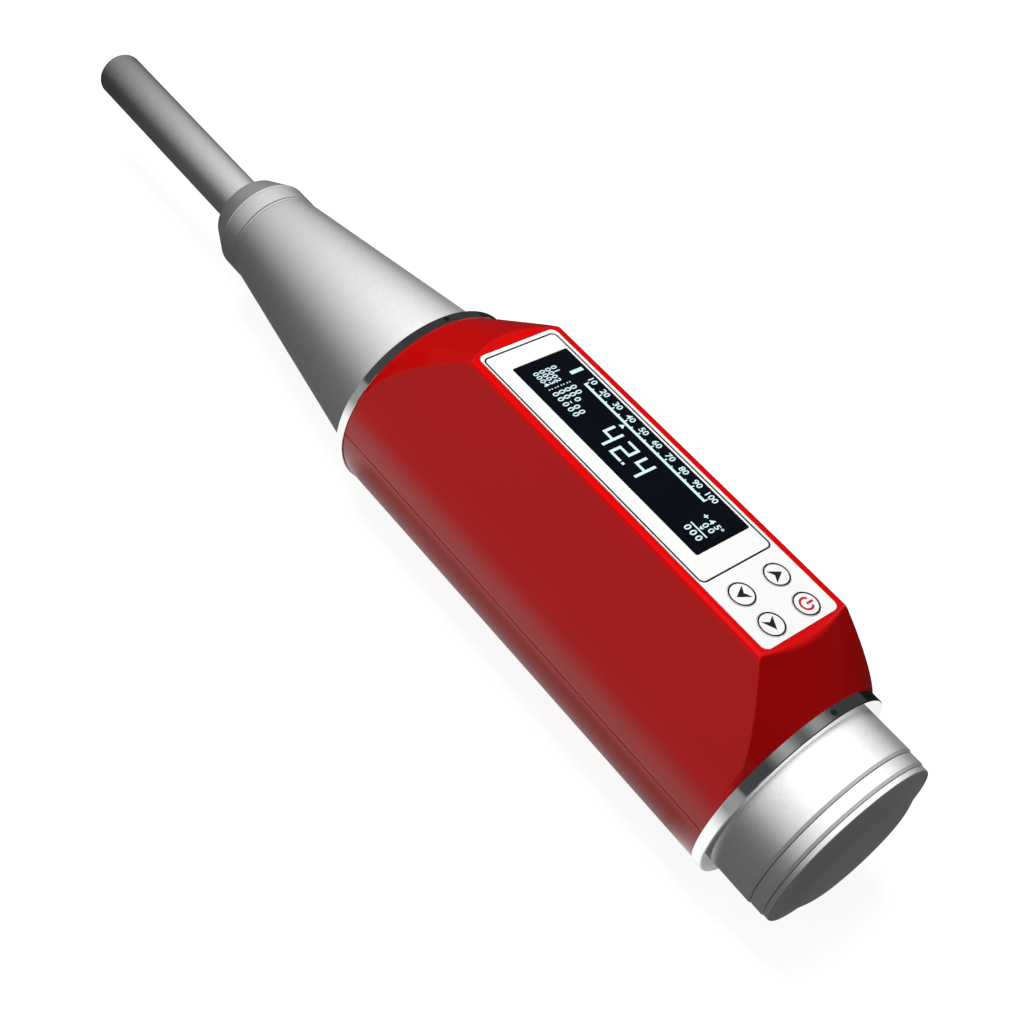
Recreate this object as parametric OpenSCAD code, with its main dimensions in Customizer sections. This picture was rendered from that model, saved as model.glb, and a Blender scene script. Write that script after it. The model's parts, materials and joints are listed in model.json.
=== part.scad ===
// Concrete test hammer, also called a rebound hammer, with a display on its housing.
// The tool lies along Y with its plunger towards +Y and its display facing +Z.
// Each piece is first drawn about the tool's own axis, where y = 0 is the rear face
// of the rear ring, and place() then moves it into the part's frame: x = 0 and y = 0
// at the middle of the overall box, z = 0 under the two rings.

/* [Housing] */
// Radius of the round lower body
body_r = 30.2; // [29:0.1:33]
// Length of the moulded housing between the two rings
housing_len = 148.1; // [125:0.1:180]
// Height of the flat top above the tool's axis
panel_height = 43.7; // [38:0.1:52]
// Width of the flat top across its rounded edges
top_w = 32.4; // [31.6:0.1:38]
// Radius of the long top edges
edge_r = 2.4; // [2.2:0.1:3]
// Wall of the two moulded shells
shell_wall = 2; // [1.6:0.1:2.1]
// Angle of the rear slope to the axis
rear_slope = 45; // [42:1:50]
// Angle of the front slope to the axis
front_slope = 32; // [31:1:38]
// Height of the parting line above the axis
parting_height = 0.6; // [0:0.1:3]

/* [Rings] */
// How far the rings stand out past the round body
ring_proud = 0.4; // [0.3:0.1:1]
// Thickness of the rear ring
rear_ring_t = 3.3; // [2.6:0.1:5]
// Thickness of the front ring
front_ring_t = 2.7; // [2.4:0.1:5]

/* [Rear cap] */
// Radius of the rear cap
rear_cap_r = 27.2; // [26.4:0.1:28]
// Length of the rear cap
rear_cap_len = 14; // [13:0.1:18]
// Radius of the locking band behind the rear cap
cap_band_r = 26.9; // [26.2:0.1:27]
// Length of the locking band
cap_band_len = 4.3; // [3:0.1:6]
// Radius of the end cap's rim
end_cap_r = 26.6; // [25:0.1:27]
// Thickness of the end cap's rim
end_rim_t = 1.5; // [1:0.1:3]
// Radius of the raised boss on the end cap
end_boss_r = 18; // [14:0.1:20]
// Rise of the boss's shoulder over the rim
end_boss_rise = 2.2; // [1.5:0.1:3]
// Rise of the crown over the boss's shoulder
end_crown_rise = 0.9; // [0.5:0.1:1.6]

/* [Front cone] */
// Radius of the cone at the front ring
cone_rear_r = 27.3; // [26.8:0.1:29]
// Radius of the cone at the nose
cone_front_r = 15.5; // [15:0.1:15.7]
// Length of the cone
cone_len = 76.2; // [66:0.1:95]

/* [Nose] */
// Radius of the nose cap's straight band
nose_r = 15.7; // [15.7:0.1:17]
// Length of the straight band
nose_band_len = 6.7; // [6.4:0.1:10]
// Length of the tapered front of the nose cap
nose_taper_len = 8; // [5:0.1:12]
// Radius at the front of the taper
nose_front_r = 12; // [10:0.1:13]

/* [Plunger] */
// Diameter of the plunger
plunger_d = 15; // [14:0.1:15.4]
// Length that stands out of the nose at rest
plunger_reach = 80.7; // [79:0.1:90]
// Radius of the round striking end
tip_sphere_r = 25; // [20:0.5:40]
// Radius of the striking end's edge
tip_edge_r = 1.5; // [0.5:0.1:2.5]
// Travel of the plunger into the body
stroke = 75; // [62:0.5:80]

/* [Panel] */
// Width of the keypad overlay
panel_w = 26.7; // [25:0.1:27]
// Distance from the rear slope's upper end to the overlay
panel_rear_margin = 1.9; // [1.7:0.1:3]
// Distance from the front slope's upper end to the overlay
panel_front_margin = 3.3; // [2:0.1:6]
// Corner radius of the overlay
panel_corner_r = 2; // [1:0.1:4]
// Thickness of the overlay
overlay_t = 0.6; // [0.4:0.1:0.8]

/* [Display] */
// Width of the display's clear window
display_w = 19; // [15:0.1:20]
// Sideways place of the window's middle
display_shift = 1.8; // [0:0.1:2]
// Distance from the overlay's front end to the window
display_inset = 7.7; // [7.2:0.1:8]
// Distance from the upper keys' centres to the window
display_key_gap = 14.4; // [11:0.1:20]

/* [Keys] */
// Diameter of a key
key_d = 7.4; // [6:0.1:7.6]
// Distance between the two keys of a row
key_pitch_x = 12.5; // [12:0.1:13]
// Distance between the two rows
key_pitch_y = 10.2; // [10:0.1:11]
// Distance from the overlay's rear end to the first row
key_inset = 5; // [4.8:0.1:5.4]
// Travel of a key
key_travel = 0.5; // [0.3:0.1:0.6]

/* [Barrel] */
// Radius of the barrel's bore
barrel_bore_r = 20.5; // [20.3:0.1:21]
// Wall of the barrel
barrel_wall = 3.1; // [2.6:0.1:3.1]

/* [Mechanism] */
// Diameter of the hammer mass
hammer_d = 30; // [28:0.1:30.2]
// Distance from the housing's front end to the hammer's striking face at rest
impact_inset = 17.3; // [12:0.1:20]
// Diameter of the guide bar
guide_bar_d = 9; // [8:0.1:9.6]
// Thickness of the guide disc
disc_t = 8; // [7.8:0.1:8.4]
// How far the trip screw's end lies behind the rear ring
trip_sink = 1.1; // [0.5:0.1:2]
// Travel of the lock button
lock_travel = 2.2; // [1.8:0.1:2.4]

/* [Hidden] */
$fn = 96;

// Clearances and overruns
overrun = 1;
slip = 0.05;
loose = 0.15;
free_gap = 0.3;
key_gap = 0.25;

// Stations along the axis, from the rear end to the tip
y_shell0 = rear_ring_t;
y_shell1 = y_shell0 + housing_len;
y_cone0 = y_shell1 + front_ring_t;
y_cone1 = y_cone0 + cone_len;
y_nose_edge = y_cone1 + nose_band_len;
y_nose1 = y_nose_edge + nose_taper_len;
y_tip = y_nose1 + plunger_reach;
y_cap1 = -rear_cap_len;
y_band1 = y_cap1 - cap_band_len;
y_rim1 = y_band1 - end_rim_t;
y_end = y_rim1 - end_boss_rise - end_crown_rise;
mid_y = (y_tip + y_end) / 2;

// Mechanism at rest: the trip screw's end, the pawl's tail, the disc, the hammer that
// fills what room the strokes leave, and the plunger's shoulder against its stop
trip_gap = 0.2;
tail_reach = 3;
disc_gap = 0.6;
impact_gap = 0.4;
stop_gap = 0.3;
split_ring_t = 3.9;
y_trip1 = -trip_sink;
y_tail0 = y_trip1 + trip_gap + stroke;
y_disc0 = y_tail0 + tail_reach;
y_disc1 = y_disc0 + disc_t;
y_hammer0 = y_disc1 + disc_gap;
y_hammer1 = y_shell1 - impact_inset;
y_shoulder0 = y_hammer1 + impact_gap + stroke;
y_split0 = y_cone1 - split_ring_t;
y_shoulder1 = y_split0 - stop_gap;

// Housing, whose slopes rise from its two ends to the flat top
ring_r = body_r + ring_proud;
slope_land = 0.2;
slope_foot_r = body_r + slope_land;
y_top0 = y_shell0 + (panel_height - slope_foot_r) / tan(rear_slope);
y_top1 = y_shell1 - (panel_height - slope_foot_r) / tan(front_slope);
corner_x = top_w / 2 - edge_r;
corner_z = panel_height - edge_r;
inner_r = body_r - shell_wall;
inner_edge_r = edge_r - shell_wall;
slope_top_r = norm([top_w / 2, panel_height]) + overrun;
z_under = panel_height - shell_wall;

// Barrel, which the rings, the rear cap and the cone all sit on
barrel_r = barrel_bore_r + barrel_wall;
barrel_seat_r = barrel_r + slip;
barrel_socket = 6;
y_barrel0 = -barrel_socket;
y_barrel1 = y_cone0 + barrel_socket;
rider_slot_w = 3;

// Set screws of the rings, on top
set_screw_r = 0.9;
set_screw_sink = 0.9;
hex_key_r = 0.5;
hex_key_depth = 2;

// Screws that join the two shells, from below
shell_boss_r = 2.6;
shell_boss_gap = 0.2;
shell_screw_x = barrel_r + shell_boss_r + shell_boss_gap;
shell_screw_inset = 27;
shell_screw_r = 1;
shell_head_r = 1.9;
shell_head_t = 1.3;
shell_head_drop = 8;
shell_screw_bite = 6.4;
shell_boss_rise = 8.4;

// Plunger and its stops
plunger_r = plunger_d / 2;
neck_relief = 0.2;
neck_lead = 0.6;
shoulder_r = 9;
split_ring_r = 11.4;
split_gap = 0.6;
plunger_bore_depth = 30;
bar_insert = 10;
y_neck1 = y_nose1 + neck_lead;
y_bore_end = y_shoulder0 + plunger_bore_depth;
felt_r = 10.4;
felt_t = 4.6;
nose_wall = 1;
y_felt0 = y_cone1 + free_gap;

// Cone bores and the guide sleeve
sleeve_r = split_ring_r;
sleeve_flange_r = 15.3;
sleeve_flange_t = 3;
sleeve_len = 14;
sleeve_wall_gap = 0.3;
y_sleeve1 = y_split0;
y_sleeve0 = y_sleeve1 - sleeve_len;
y_flange1 = y_sleeve0 + sleeve_flange_t;
cone_throat_r = 15.9;

// Hammer, guide bar and guide disc
guide_bar_r = guide_bar_d / 2;
hammer_r = hammer_d / 2;
hammer_spigot_r = 10.6;
hammer_spigot_len = 3;
latch_groove_start = 3.4;
latch_groove_w = 3.6;
latch_groove_depth = 2.4;
disc_run = 0.5;
disc_r = barrel_bore_r - disc_run;
bar_nut_t = 5;
bar_nut_flats = 12;
bar_tail = 1;

// Pawl, drawn released: its hook is clear of the hammer
pawl_t = 4.4;
pawl_slot_w = 5;
pawl_boss_r = 3;
pawl_pin_r = 1.2;
hook_gap = 0.5;
hook_rise = 1.7;
hook_w = 2.4;
arm_t = 2.6;
tail_w = 2.4;
tail_drop = 9;
tail_t = 3.4;
pawl_pocket_front = 2;
z_hook = -(hammer_r + hook_gap);
z_arm_top = z_hook - hook_rise;
z_arm_low = z_arm_top - arm_t;
z_pivot = z_hook - hook_gap;
y_pivot = y_disc0 + disc_t / 2;
y_hook0 = y_hammer0 + latch_groove_start + hook_gap;
y_hook1 = y_hook0 + hook_w;
y_tail1 = y_disc0 + tail_w;
z_tail1 = -tail_drop;
z_tail0 = z_tail1 - tail_t;
y_pocket = y_disc1 - pawl_pocket_front;

// Trip screw in the rear cap, in line with the pawl's tail
trip_r = 2;
trip_head_out = 2.4;
trip_slot_w = 0.8;
trip_slot_depth = 1.2;
trip_nut_flats = 6.4;
trip_nut_t = 2.6;
cap_floor_t = 4;
y_floor = y_cap1 + cap_floor_t;
y_trip0 = y_cap1 - trip_head_out;
z_trip = z_tail1 - tail_t / 2;
band_bore_r = 20;
end_spigot_len = 1.2;
groove_w = 0.5;
groove_depth = 0.4;
rim_round = 0.5;

// Rider, its rod and what reads it
rider_rod_r = 1.5;
rider_rod_z = 17.9;
rider_w = 6.4;
rider_len = 7;
rider_drop = 2.3;
rider_rise = 1.7;
rider_flag_w = 1.6;
rider_flag_len = 3;
rider_lead = 2;
rider_notch_w = 7.4;
rider_slot_margin = 3;
friction_ring_r = 2.4;
friction_ring_t = 2;
rod_socket = 2;
rod_front_run = 27;
y_rider1 = y_hammer1 + rider_lead;
y_rider0 = y_rider1 - rider_len;
y_rod0 = y_floor - rod_socket;
y_rod1 = y_barrel1 + rod_front_run;
z_rider0 = rider_rod_z - rider_drop;
z_rider1 = rider_rod_z + rider_rise;
y_flag0 = y_rider0 + (rider_len - rider_flag_len) / 2;
y_flag1 = y_flag0 + rider_flag_len;

// Panel, display and keys
y_panel0 = y_top0 + panel_rear_margin;
y_panel1 = y_top1 - panel_front_margin;
overlay_sink = 0.5;
z_seat = panel_height - overlay_sink;
z_overlay = z_seat + overlay_t;
window_flange = 1;
window_flange_t = 0.9;
window_corner_r = 0.6;
key_r = key_d / 2;
key_hole_r = key_r + key_gap;
key_flange_w = 0.6;
key_flange_r = key_hole_r + key_flange_w;
key_flange_t = 0.8;
key_hang = 0.1;
key_proud = 0.15;
key_stem_r = 1.2;
key_stem_len = 1.2;
key_spare = 0.2;
key_rest = key_travel + key_spare;
y_key_row0 = y_panel0 + key_inset;
y_key_row1 = y_key_row0 + key_pitch_y;
y_display0 = y_key_row1 + display_key_gap;
y_display1 = y_panel1 - display_inset;
z_flange1 = z_under - key_hang;
z_flange0 = z_flange1 - key_flange_t;
z_stem0 = z_flange0 - key_stem_len;
z_switch1 = z_stem0 - key_rest;

// Board and what is on it
switch_h = 2.4;
switch_w = 6;
board_t = 1.6;
board_w = 29;
board_edge = 1;
z_board1 = z_switch1 - switch_h;
z_board0 = z_board1 - board_t;
y_board0 = y_panel0 + board_edge;
y_board1 = y_panel1 + board_edge;
module_margin = 1.6;
module_glass_t = 1.4;
module_lens_gap = 0.2;
z_lens0 = z_flange1 - window_flange_t;
z_module1 = z_lens0 - module_lens_gap;
board_boss_r = 2.2;
board_boss_x = 12;
board_boss_front = 3;
board_screw_r = 1.1;
board_head_r = 2.2;
board_head_t = 1.5;
board_screw_bite = 3.6;
y_boss0 = y_key_row0 + key_pitch_y / 2;
y_boss1 = y_panel1 - board_boss_front;
battery_w = 20;
battery_len = 50;
battery_gap = 1.4;
battery_start = 27;
battery_round = 3;
sensor_w = 8;
sensor_t = 1.6;
sensor_lift = 0.3;
z_sensor0 = barrel_r + sensor_lift;
z_sensor1 = z_sensor0 + sensor_t;
ribbon_w = 6;
ribbon_t = 0.4;
ribbon_inset = 1;

// Springs: coil radius, wire radius and turns
impact_coil_r = 12.8;
impact_wire_r = 1;
impact_turns = 17;
return_coil_r = 15.2;
return_wire_r = 0.6;
return_turns = 9;
buffer_coil_r = 3.4;
buffer_wire_r = 0.5;
buffer_turns = 8;
button_coil_r = 2.45;
button_wire_r = 0.25;
button_turns = 5;
pawl_coil_r = 1.2;
pawl_wire_r = 0.2;
pawl_turns = 3;
seat_gap = 0.05;
end_turn_gap = 0.5;
rings_per_turn = 8;
wire_sides = 6;

// Lock button, low on the right-hand side
lock_angle = 35;
lock_pin_r = 1.9;
lock_cap_r = 4;
lock_cap_stay = 0.8;
lock_cap_out = lock_travel + lock_cap_stay;
lock_cap_round = 0.8;
lock_cap_top_t = 1.6;
lock_flange_r = 5.2;
lock_flange_t = 0.9;
lock_flange_drop = 0.7;
lock_cave_r = 2.9;
lock_pin_clear = 0.15;
lock_catch_gap = 0.4;
y_lock = y_disc1 - stroke + lock_pin_r + lock_catch_gap;
lock_pin_end = barrel_bore_r + free_gap;
lock_flange1 = inner_r - lock_flange_drop;
lock_flange0 = lock_flange1 - lock_flange_t;
lock_top = body_r + lock_cap_out;
lock_cave1 = lock_top - lock_cap_top_t;

// Finishes
red_colour = "firebrick";
alloy_colour = "silver";
steel_colour = "slategray";
bright_colour = "gainsboro";
dark_colour = "dimgray";
spring_colour = "darkgray";

// Angle of a flat side that touches the round body and a top corner
function side_angle(r, cx, cz, cr) = atan2(cz, cx) - acos((r - cr) / norm([cx, cz]));
function on_circle(r, a) = [r * cos(a), r * sin(a)];

// Points [radius, height] along a round edge
function arc_points(centre, r, a0, a1, steps) =
    [for (i = [0:steps]) centre + on_circle(r, a0 + (a1 - a0) * i / steps)];

// Height of a coil's wire after t turns, with one closer turn at each end
function coil_height(t, turns, len, w) =
    let (step = 2 * w + end_turn_gap,
         run = (len - 2 * w - 2 * step) / (turns - 2))
    t < 1 ? w + step * t
    : t > turns - 1 ? len - w - step * (turns - t)
    : w + step + run * (t - 1);

// Least gap between neighbouring turns of a coil, measured on its points
function coil_gap(turns, len, w) =
    min([for (i = [0:(turns - 1) * rings_per_turn])
        coil_height(i / rings_per_turn + 1, turns, len, w)
        - coil_height(i / rings_per_turn, turns, len, w) - 2 * w]);

module place() {
    translate([0, -mid_y, ring_r]) children();
}

// Turns what stands along Z so that it lies along Y
module along_axis(y = 0) {
    translate([0, y, 0]) rotate([-90, 0, 0]) children();
}

module rod(y0, y1, r) {
    along_axis(y0) cylinder(h = y1 - y0, r = r);
}

module tube(y0, y1, outer, inner) {
    difference() {
        rod(y0, y1, outer);
        rod(y0 - overrun, y1 + overrun, inner);
    }
}

// A turned shape from points [radius, station]
module turned(points) {
    along_axis() rotate_extrude() polygon(points);
}

module post(x, y, z0, z1, r) {
    translate([x, y, z0]) cylinder(h = z1 - z0, r = r);
}

module block(x0, x1, y0, y1, z0, z1) {
    translate([x0, y0, z0]) cube([x1 - x0, y1 - y0, z1 - z0]);
}

// A flat plate in x and y with round corners
module round_plate(x0, x1, y0, y1, z0, z1, r) {
    translate([0, 0, z0]) linear_extrude(z1 - z0) {
        translate([x0 + r, y0]) square([x1 - x0 - 2 * r, y1 - y0]);
        translate([x0, y0 + r]) square([x1 - x0, y1 - y0 - 2 * r]);
        for (x = [x0 + r, x1 - r], y = [y0 + r, y1 - r])
            translate([x, y]) circle(r);
    }
}

// A hexagon along the axis, with a flat upwards
module hex_bar(y0, y1, flats) {
    along_axis(y0) rotate([0, 0, 30]) cylinder(h = y1 - y0, r = flats / 2 / cos(30), $fn = 6);
}

// Runs a radial piece out from the axis at the lock button's angle
module at_lock() {
    translate([0, y_lock, 0]) rotate([0, 90 + lock_angle, 0]) children();
}

// One unbroken wire, wound round Z from z = 0 to len
module coil(coil_r, w, turns, len) {
    count = turns * rings_per_turn;
    points = [for (i = [0:count], k = [0:wire_sides - 1])
        let (turn = 360 * i / rings_per_turn, side = 360 * k / wire_sides,
             r = coil_r + w * cos(side))
        [r * cos(turn), r * sin(turn), coil_height(i / rings_per_turn, turns, len, w) + w * sin(side)]];
    walls = [for (i = [0:count - 1], k = [0:wire_sides - 1], half = [0, 1])
        let (a = i * wire_sides + k,
             b = i * wire_sides + (k + 1) % wire_sides,
             c = a + wire_sides,
             d = b + wire_sides)
        half == 0 ? [a, b, c] : [b, d, c]];
    first_end = [for (k = [1:wire_sides - 2]) [0, k + 1, k]];
    last = count * wire_sides;
    last_end = [for (k = [1:wire_sides - 2]) [last, last + k, last + k + 1]];
    polyhedron(points, concat(walls, first_end, last_end));
}

// The housing's cross-section: a round body with flat sides up to two round corners
module section(r, cr) {
    side = side_angle(r, corner_x, corner_z, cr);
    foot = on_circle(r, side);
    shoulder = [corner_x, corner_z] + on_circle(cr, side);
    top = [corner_x, corner_z + cr];
    circle(r);
    for (s = [-1, 1]) translate([s * corner_x, corner_z]) circle(cr);
    polygon([foot, shoulder, top, [-top.x, top.y], [-shoulder.x, shoulder.y], [-foot.x, foot.y]]);
}

// A straight length of that section, cut by the two slopes
module sloped_body(r, cr, inset) {
    start = y_shell0 + inset;
    end = y_shell1 - inset;
    rear_shift = inset == 0 ? 0 : shell_wall / sin(rear_slope);
    front_shift = inset == 0 ? 0 : shell_wall / sin(front_slope);
    rear_top = y_shell0 + rear_shift + (slope_top_r - slope_foot_r) / tan(rear_slope);
    front_top = y_shell1 - front_shift - (slope_top_r - slope_foot_r) / tan(front_slope);
    rear_foot = slope_foot_r + (start - y_shell0 - rear_shift) * tan(rear_slope);
    front_foot = slope_foot_r + (y_shell1 - front_shift - end) * tan(front_slope);
    intersection() {
        translate([0, end, 0]) rotate([90, 0, 0]) linear_extrude(end - start) section(r, cr);
        turned([[0, start], [rear_foot, start], [slope_top_r, rear_top],
                [slope_top_r, front_top], [front_foot, end], [0, end]]);
    }
}

module shell_pair() {
    difference() {
        sloped_body(body_r, edge_r, 0);
        sloped_body(inner_r, inner_edge_r, shell_wall);
        rod(y_shell0 - overrun, y_shell1 + overrun, barrel_seat_r);
    }
}

function shell_screw_places() =
    [for (x = [-shell_screw_x, shell_screw_x],
          y = [y_shell0 + shell_screw_inset, y_shell1 - shell_screw_inset]) [x, y]];

function board_screw_places() =
    [for (x = [-board_boss_x, board_boss_x], y = [y_boss0, y_boss1]) [x, y]];

function key_places() =
    [for (y = [y_key_row1, y_key_row0], x = [key_pitch_x / 2, -key_pitch_x / 2]) [x, y]];

module housing_upper_shell() {
    color(red_colour) place() difference() {
        union() {
            intersection() {
                shell_pair();
                block(-slope_top_r, slope_top_r, y_shell0 - overrun, y_shell1 + overrun,
                      parting_height, slope_top_r);
            }
            for (p = shell_screw_places())
                post(p.x, p.y, parting_height, shell_boss_rise, shell_boss_r);
            for (p = board_screw_places())
                post(p.x, p.y, z_board1, z_under + overlay_sink, board_boss_r);
        }
        round_plate(-panel_w / 2 - loose, panel_w / 2 + loose, y_panel0 - loose, y_panel1 + loose,
                    z_seat, panel_height + overrun, panel_corner_r + loose);
        round_plate(display_shift - display_w / 2 - loose, display_shift + display_w / 2 + loose,
                    y_display0 - loose, y_display1 + loose, z_under - overrun,
                    panel_height + overrun, window_corner_r + loose);
        for (p = key_places())
            post(p.x, p.y, z_under - overrun, panel_height + overrun, key_hole_r);
        for (p = shell_screw_places())
            post(p.x, p.y, parting_height - overrun, shell_screw_bite + slip, shell_screw_r + slip);
        for (p = board_screw_places())
            post(p.x, p.y, z_board1 - overrun, z_board1 + board_screw_bite + slip, board_screw_r + slip);
    }
}

module housing_lower_shell() {
    color(red_colour) place() difference() {
        union() {
            intersection() {
                shell_pair();
                block(-slope_top_r, slope_top_r, y_shell0 - overrun, y_shell1 + overrun,
                      -slope_top_r, parting_height);
            }
            for (p = shell_screw_places()) intersection() {
                post(p.x, p.y, -body_r, parting_height, shell_boss_r);
                rod(y_shell0, y_shell1, body_r);
            }
        }
        for (p = shell_screw_places()) {
            post(p.x, p.y, -body_r, parting_height + overrun, shell_screw_r + slip);
            post(p.x, p.y, -body_r, -shell_head_drop, shell_head_r + slip);
        }
        at_lock() post(0, 0, inner_r - overrun, body_r + overrun, lock_cap_r + loose);
    }
}

module barrel_tube() {
    color(alloy_colour) place() difference() {
        tube(y_barrel0, y_barrel1, barrel_r, barrel_bore_r);
        block(-rider_slot_w / 2, rider_slot_w / 2, y_flag0 - stroke - rider_slot_margin,
              y_flag1 + rider_slot_margin, 0, barrel_r + overrun);
        at_lock() post(0, 0, 0, barrel_r + overrun, lock_pin_r + lock_pin_clear);
    }
}

module clamp_ring(y0, y1) {
    difference() {
        tube(y0, y1, ring_r, barrel_seat_r);
        post(0, (y0 + y1) / 2, 0, ring_r + overrun, set_screw_r + slip);
    }
}

module rear_ring() {
    color(bright_colour) place() clamp_ring(0, rear_ring_t);
}

module front_ring() {
    color(bright_colour) place() clamp_ring(y_shell1, y_cone0);
}

module ring_set_screws() {
    color(dark_colour) place()
        for (y = [rear_ring_t / 2, (y_shell1 + y_cone0) / 2]) difference() {
            post(0, y, barrel_r + slip, ring_r - set_screw_sink, set_screw_r);
            post(0, y, ring_r - set_screw_sink - hex_key_depth, ring_r, hex_key_r);
        }
}

module shell_screws() {
    color(dark_colour) place()
        for (p = shell_screw_places()) {
            post(p.x, p.y, -shell_head_drop - shell_head_t, -shell_head_drop, shell_head_r);
            post(p.x, p.y, -shell_head_drop, shell_screw_bite, shell_screw_r);
        }
}

module rear_cap() {
    color(alloy_colour) place() difference() {
        turned([[0, y_cap1],
                [rear_cap_r - groove_depth, y_cap1],
                [rear_cap_r - groove_depth, y_cap1 + groove_w],
                [rear_cap_r, y_cap1 + groove_w],
                [rear_cap_r, 0],
                [barrel_seat_r, 0],
                [barrel_seat_r, y_barrel0],
                [barrel_bore_r, y_barrel0],
                [barrel_bore_r, y_floor],
                [0, y_floor]]);
        translate([0, 0, z_trip]) rod(y_cap1 - overrun, y_floor + overrun, trip_r + slip);
        translate([0, 0, rider_rod_z]) rod(y_rod0, y_floor + overrun, rider_rod_r + slip);
    }
}

module cap_band() {
    color(alloy_colour) place()
        turned([[band_bore_r, y_band1],
                [cap_band_r - groove_depth, y_band1],
                [cap_band_r - groove_depth, y_band1 + groove_w],
                [cap_band_r, y_band1 + groove_w],
                [cap_band_r, y_cap1],
                [band_bore_r, y_cap1]]);
}

module end_cap() {
    crown_r = (end_boss_r * end_boss_r + end_crown_rise * end_crown_rise) / (2 * end_crown_rise);
    crown_angle = asin(end_boss_r / crown_r);
    rim_edge = arc_points([end_cap_r - rim_round, y_rim1 + rim_round], rim_round, 0, -90, 6);
    hollow = [for (i = [1:10]) let (t = i / 10, swell = (1 - cos(180 * t)) / 2)
        [end_cap_r - rim_round - (end_cap_r - rim_round - end_boss_r) * t,
         y_rim1 - end_boss_rise * swell]];
    crown = arc_points([0, y_end + crown_r], crown_r, -90 + crown_angle, -90, 10);
    color(dark_colour) place()
        turned(concat([[0, y_band1 + end_spigot_len],
                       [band_bore_r - slip, y_band1 + end_spigot_len],
                       [band_bore_r - slip, y_band1],
                       [end_cap_r, y_band1]],
                      rim_edge, hollow, crown));
}

module trip_screw() {
    color(steel_colour) place() translate([0, 0, z_trip]) difference() {
        rod(y_trip0, y_trip1, trip_r);
        block(-trip_r - overrun, trip_r + overrun, y_trip0 - overrun, y_trip0 + trip_slot_depth,
              -trip_slot_w / 2, trip_slot_w / 2);
    }
}

module trip_lock_nut() {
    color(steel_colour) place() translate([0, 0, z_trip]) difference() {
        hex_bar(y_floor, y_floor + trip_nut_t, trip_nut_flats);
        rod(y_floor - overrun, y_floor + trip_nut_t + overrun, trip_r + slip);
    }
}

module front_cone() {
    color(alloy_colour) place() difference() {
        turned([[barrel_seat_r, y_cone0],
                [cone_rear_r, y_cone0],
                [cone_front_r, y_cone1],
                [sleeve_r + slip, y_cone1],
                [sleeve_r + slip, y_flange1],
                [cone_throat_r, y_flange1],
                [cone_throat_r, y_sleeve0],
                [barrel_bore_r, y_barrel1],
                [barrel_seat_r, y_barrel1]]);
        translate([0, 0, rider_rod_z]) rod(y_barrel1, y_rod1 + slip, rider_rod_r + slip);
    }
}

module nose_cap() {
    color(alloy_colour) place()
        turned([[felt_r + slip, y_cone1],
                [nose_r - groove_depth, y_cone1],
                [nose_r - groove_depth, y_cone1 + groove_w],
                [nose_r, y_cone1 + groove_w],
                [nose_r, y_nose_edge],
                [nose_front_r, y_nose1],
                [plunger_r + slip, y_nose1],
                [plunger_r + slip, y_nose_edge - nose_wall],
                [felt_r + slip, y_nose_edge - nose_wall]]);
}

module felt_washer() {
    color("beige") place() tube(y_felt0, y_felt0 + felt_t, felt_r, plunger_r + free_gap);
}

module split_ring() {
    color(steel_colour) place() difference() {
        tube(y_split0, y_cone1, split_ring_r, plunger_r + slip);
        block(-split_gap / 2, split_gap / 2, y_split0 - overrun, y_cone1 + overrun,
              -split_ring_r - overrun, split_ring_r + overrun);
    }
}

module guide_sleeve() {
    color(steel_colour) place()
        turned([[shoulder_r + sleeve_wall_gap, y_sleeve0],
                [sleeve_flange_r, y_sleeve0],
                [sleeve_flange_r, y_flange1],
                [sleeve_r, y_flange1],
                [sleeve_r, y_sleeve1],
                [shoulder_r + sleeve_wall_gap, y_sleeve1]]);
}

// Springs that lie along the axis, between two seats
module axial_spring(y0, y1, coil_r, w, turns) {
    along_axis(y0 + seat_gap) coil(coil_r, w, turns, y1 - y0 - 2 * seat_gap);
}

module impact_spring() {
    color(spring_colour) place()
        axial_spring(y_hammer1 - hammer_spigot_len, y_sleeve0, impact_coil_r, impact_wire_r, impact_turns);
}

module return_spring() {
    color(spring_colour) place()
        axial_spring(y_floor, y_disc0, return_coil_r, return_wire_r, return_turns);
}

module rider_rod() {
    color(steel_colour) place() translate([0, 0, rider_rod_z]) rod(y_rod0 + slip, y_rod1, rider_rod_r);
}

module keypad_overlay() {
    color("whitesmoke") place() difference() {
        round_plate(-panel_w / 2, panel_w / 2, y_panel0, y_panel1, z_seat, z_overlay, panel_corner_r);
        round_plate(display_shift - display_w / 2 - loose, display_shift + display_w / 2 + loose,
                    y_display0 - loose, y_display1 + loose, z_seat - overrun, z_overlay + overrun,
                    window_corner_r + loose);
        for (p = key_places())
            post(p.x, p.y, z_seat - overrun, z_overlay + overrun, key_hole_r);
    }
}

module display_window() {
    color("midnightblue") place() {
        round_plate(display_shift - display_w / 2, display_shift + display_w / 2,
                    y_display0, y_display1, z_flange1, z_overlay, window_corner_r);
        round_plate(display_shift - display_w / 2 - window_flange,
                    display_shift + display_w / 2 + window_flange,
                    y_display0 - window_flange, y_display1 + window_flange,
                    z_lens0, z_flange1, window_corner_r + window_flange);
    }
}

module display_module() {
    low = display_shift - display_w / 2 - window_flange;
    high = display_shift + display_w / 2 + window_flange;
    color("black") place() {
        block(low, high, y_display0 - module_margin, y_display1 + module_margin,
              z_board1, z_module1 - module_glass_t);
        block(low + window_flange, high - window_flange, y_display0, y_display1,
              z_module1 - module_glass_t, z_module1);
    }
}

module main_board() {
    color("darkgreen") place() difference() {
        block(-board_w / 2, board_w / 2, y_board0, y_board1, z_board0, z_board1);
        for (p = board_screw_places())
            post(p.x, p.y, z_board0 - overrun, z_board1 + overrun, board_screw_r + slip);
    }
}

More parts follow.
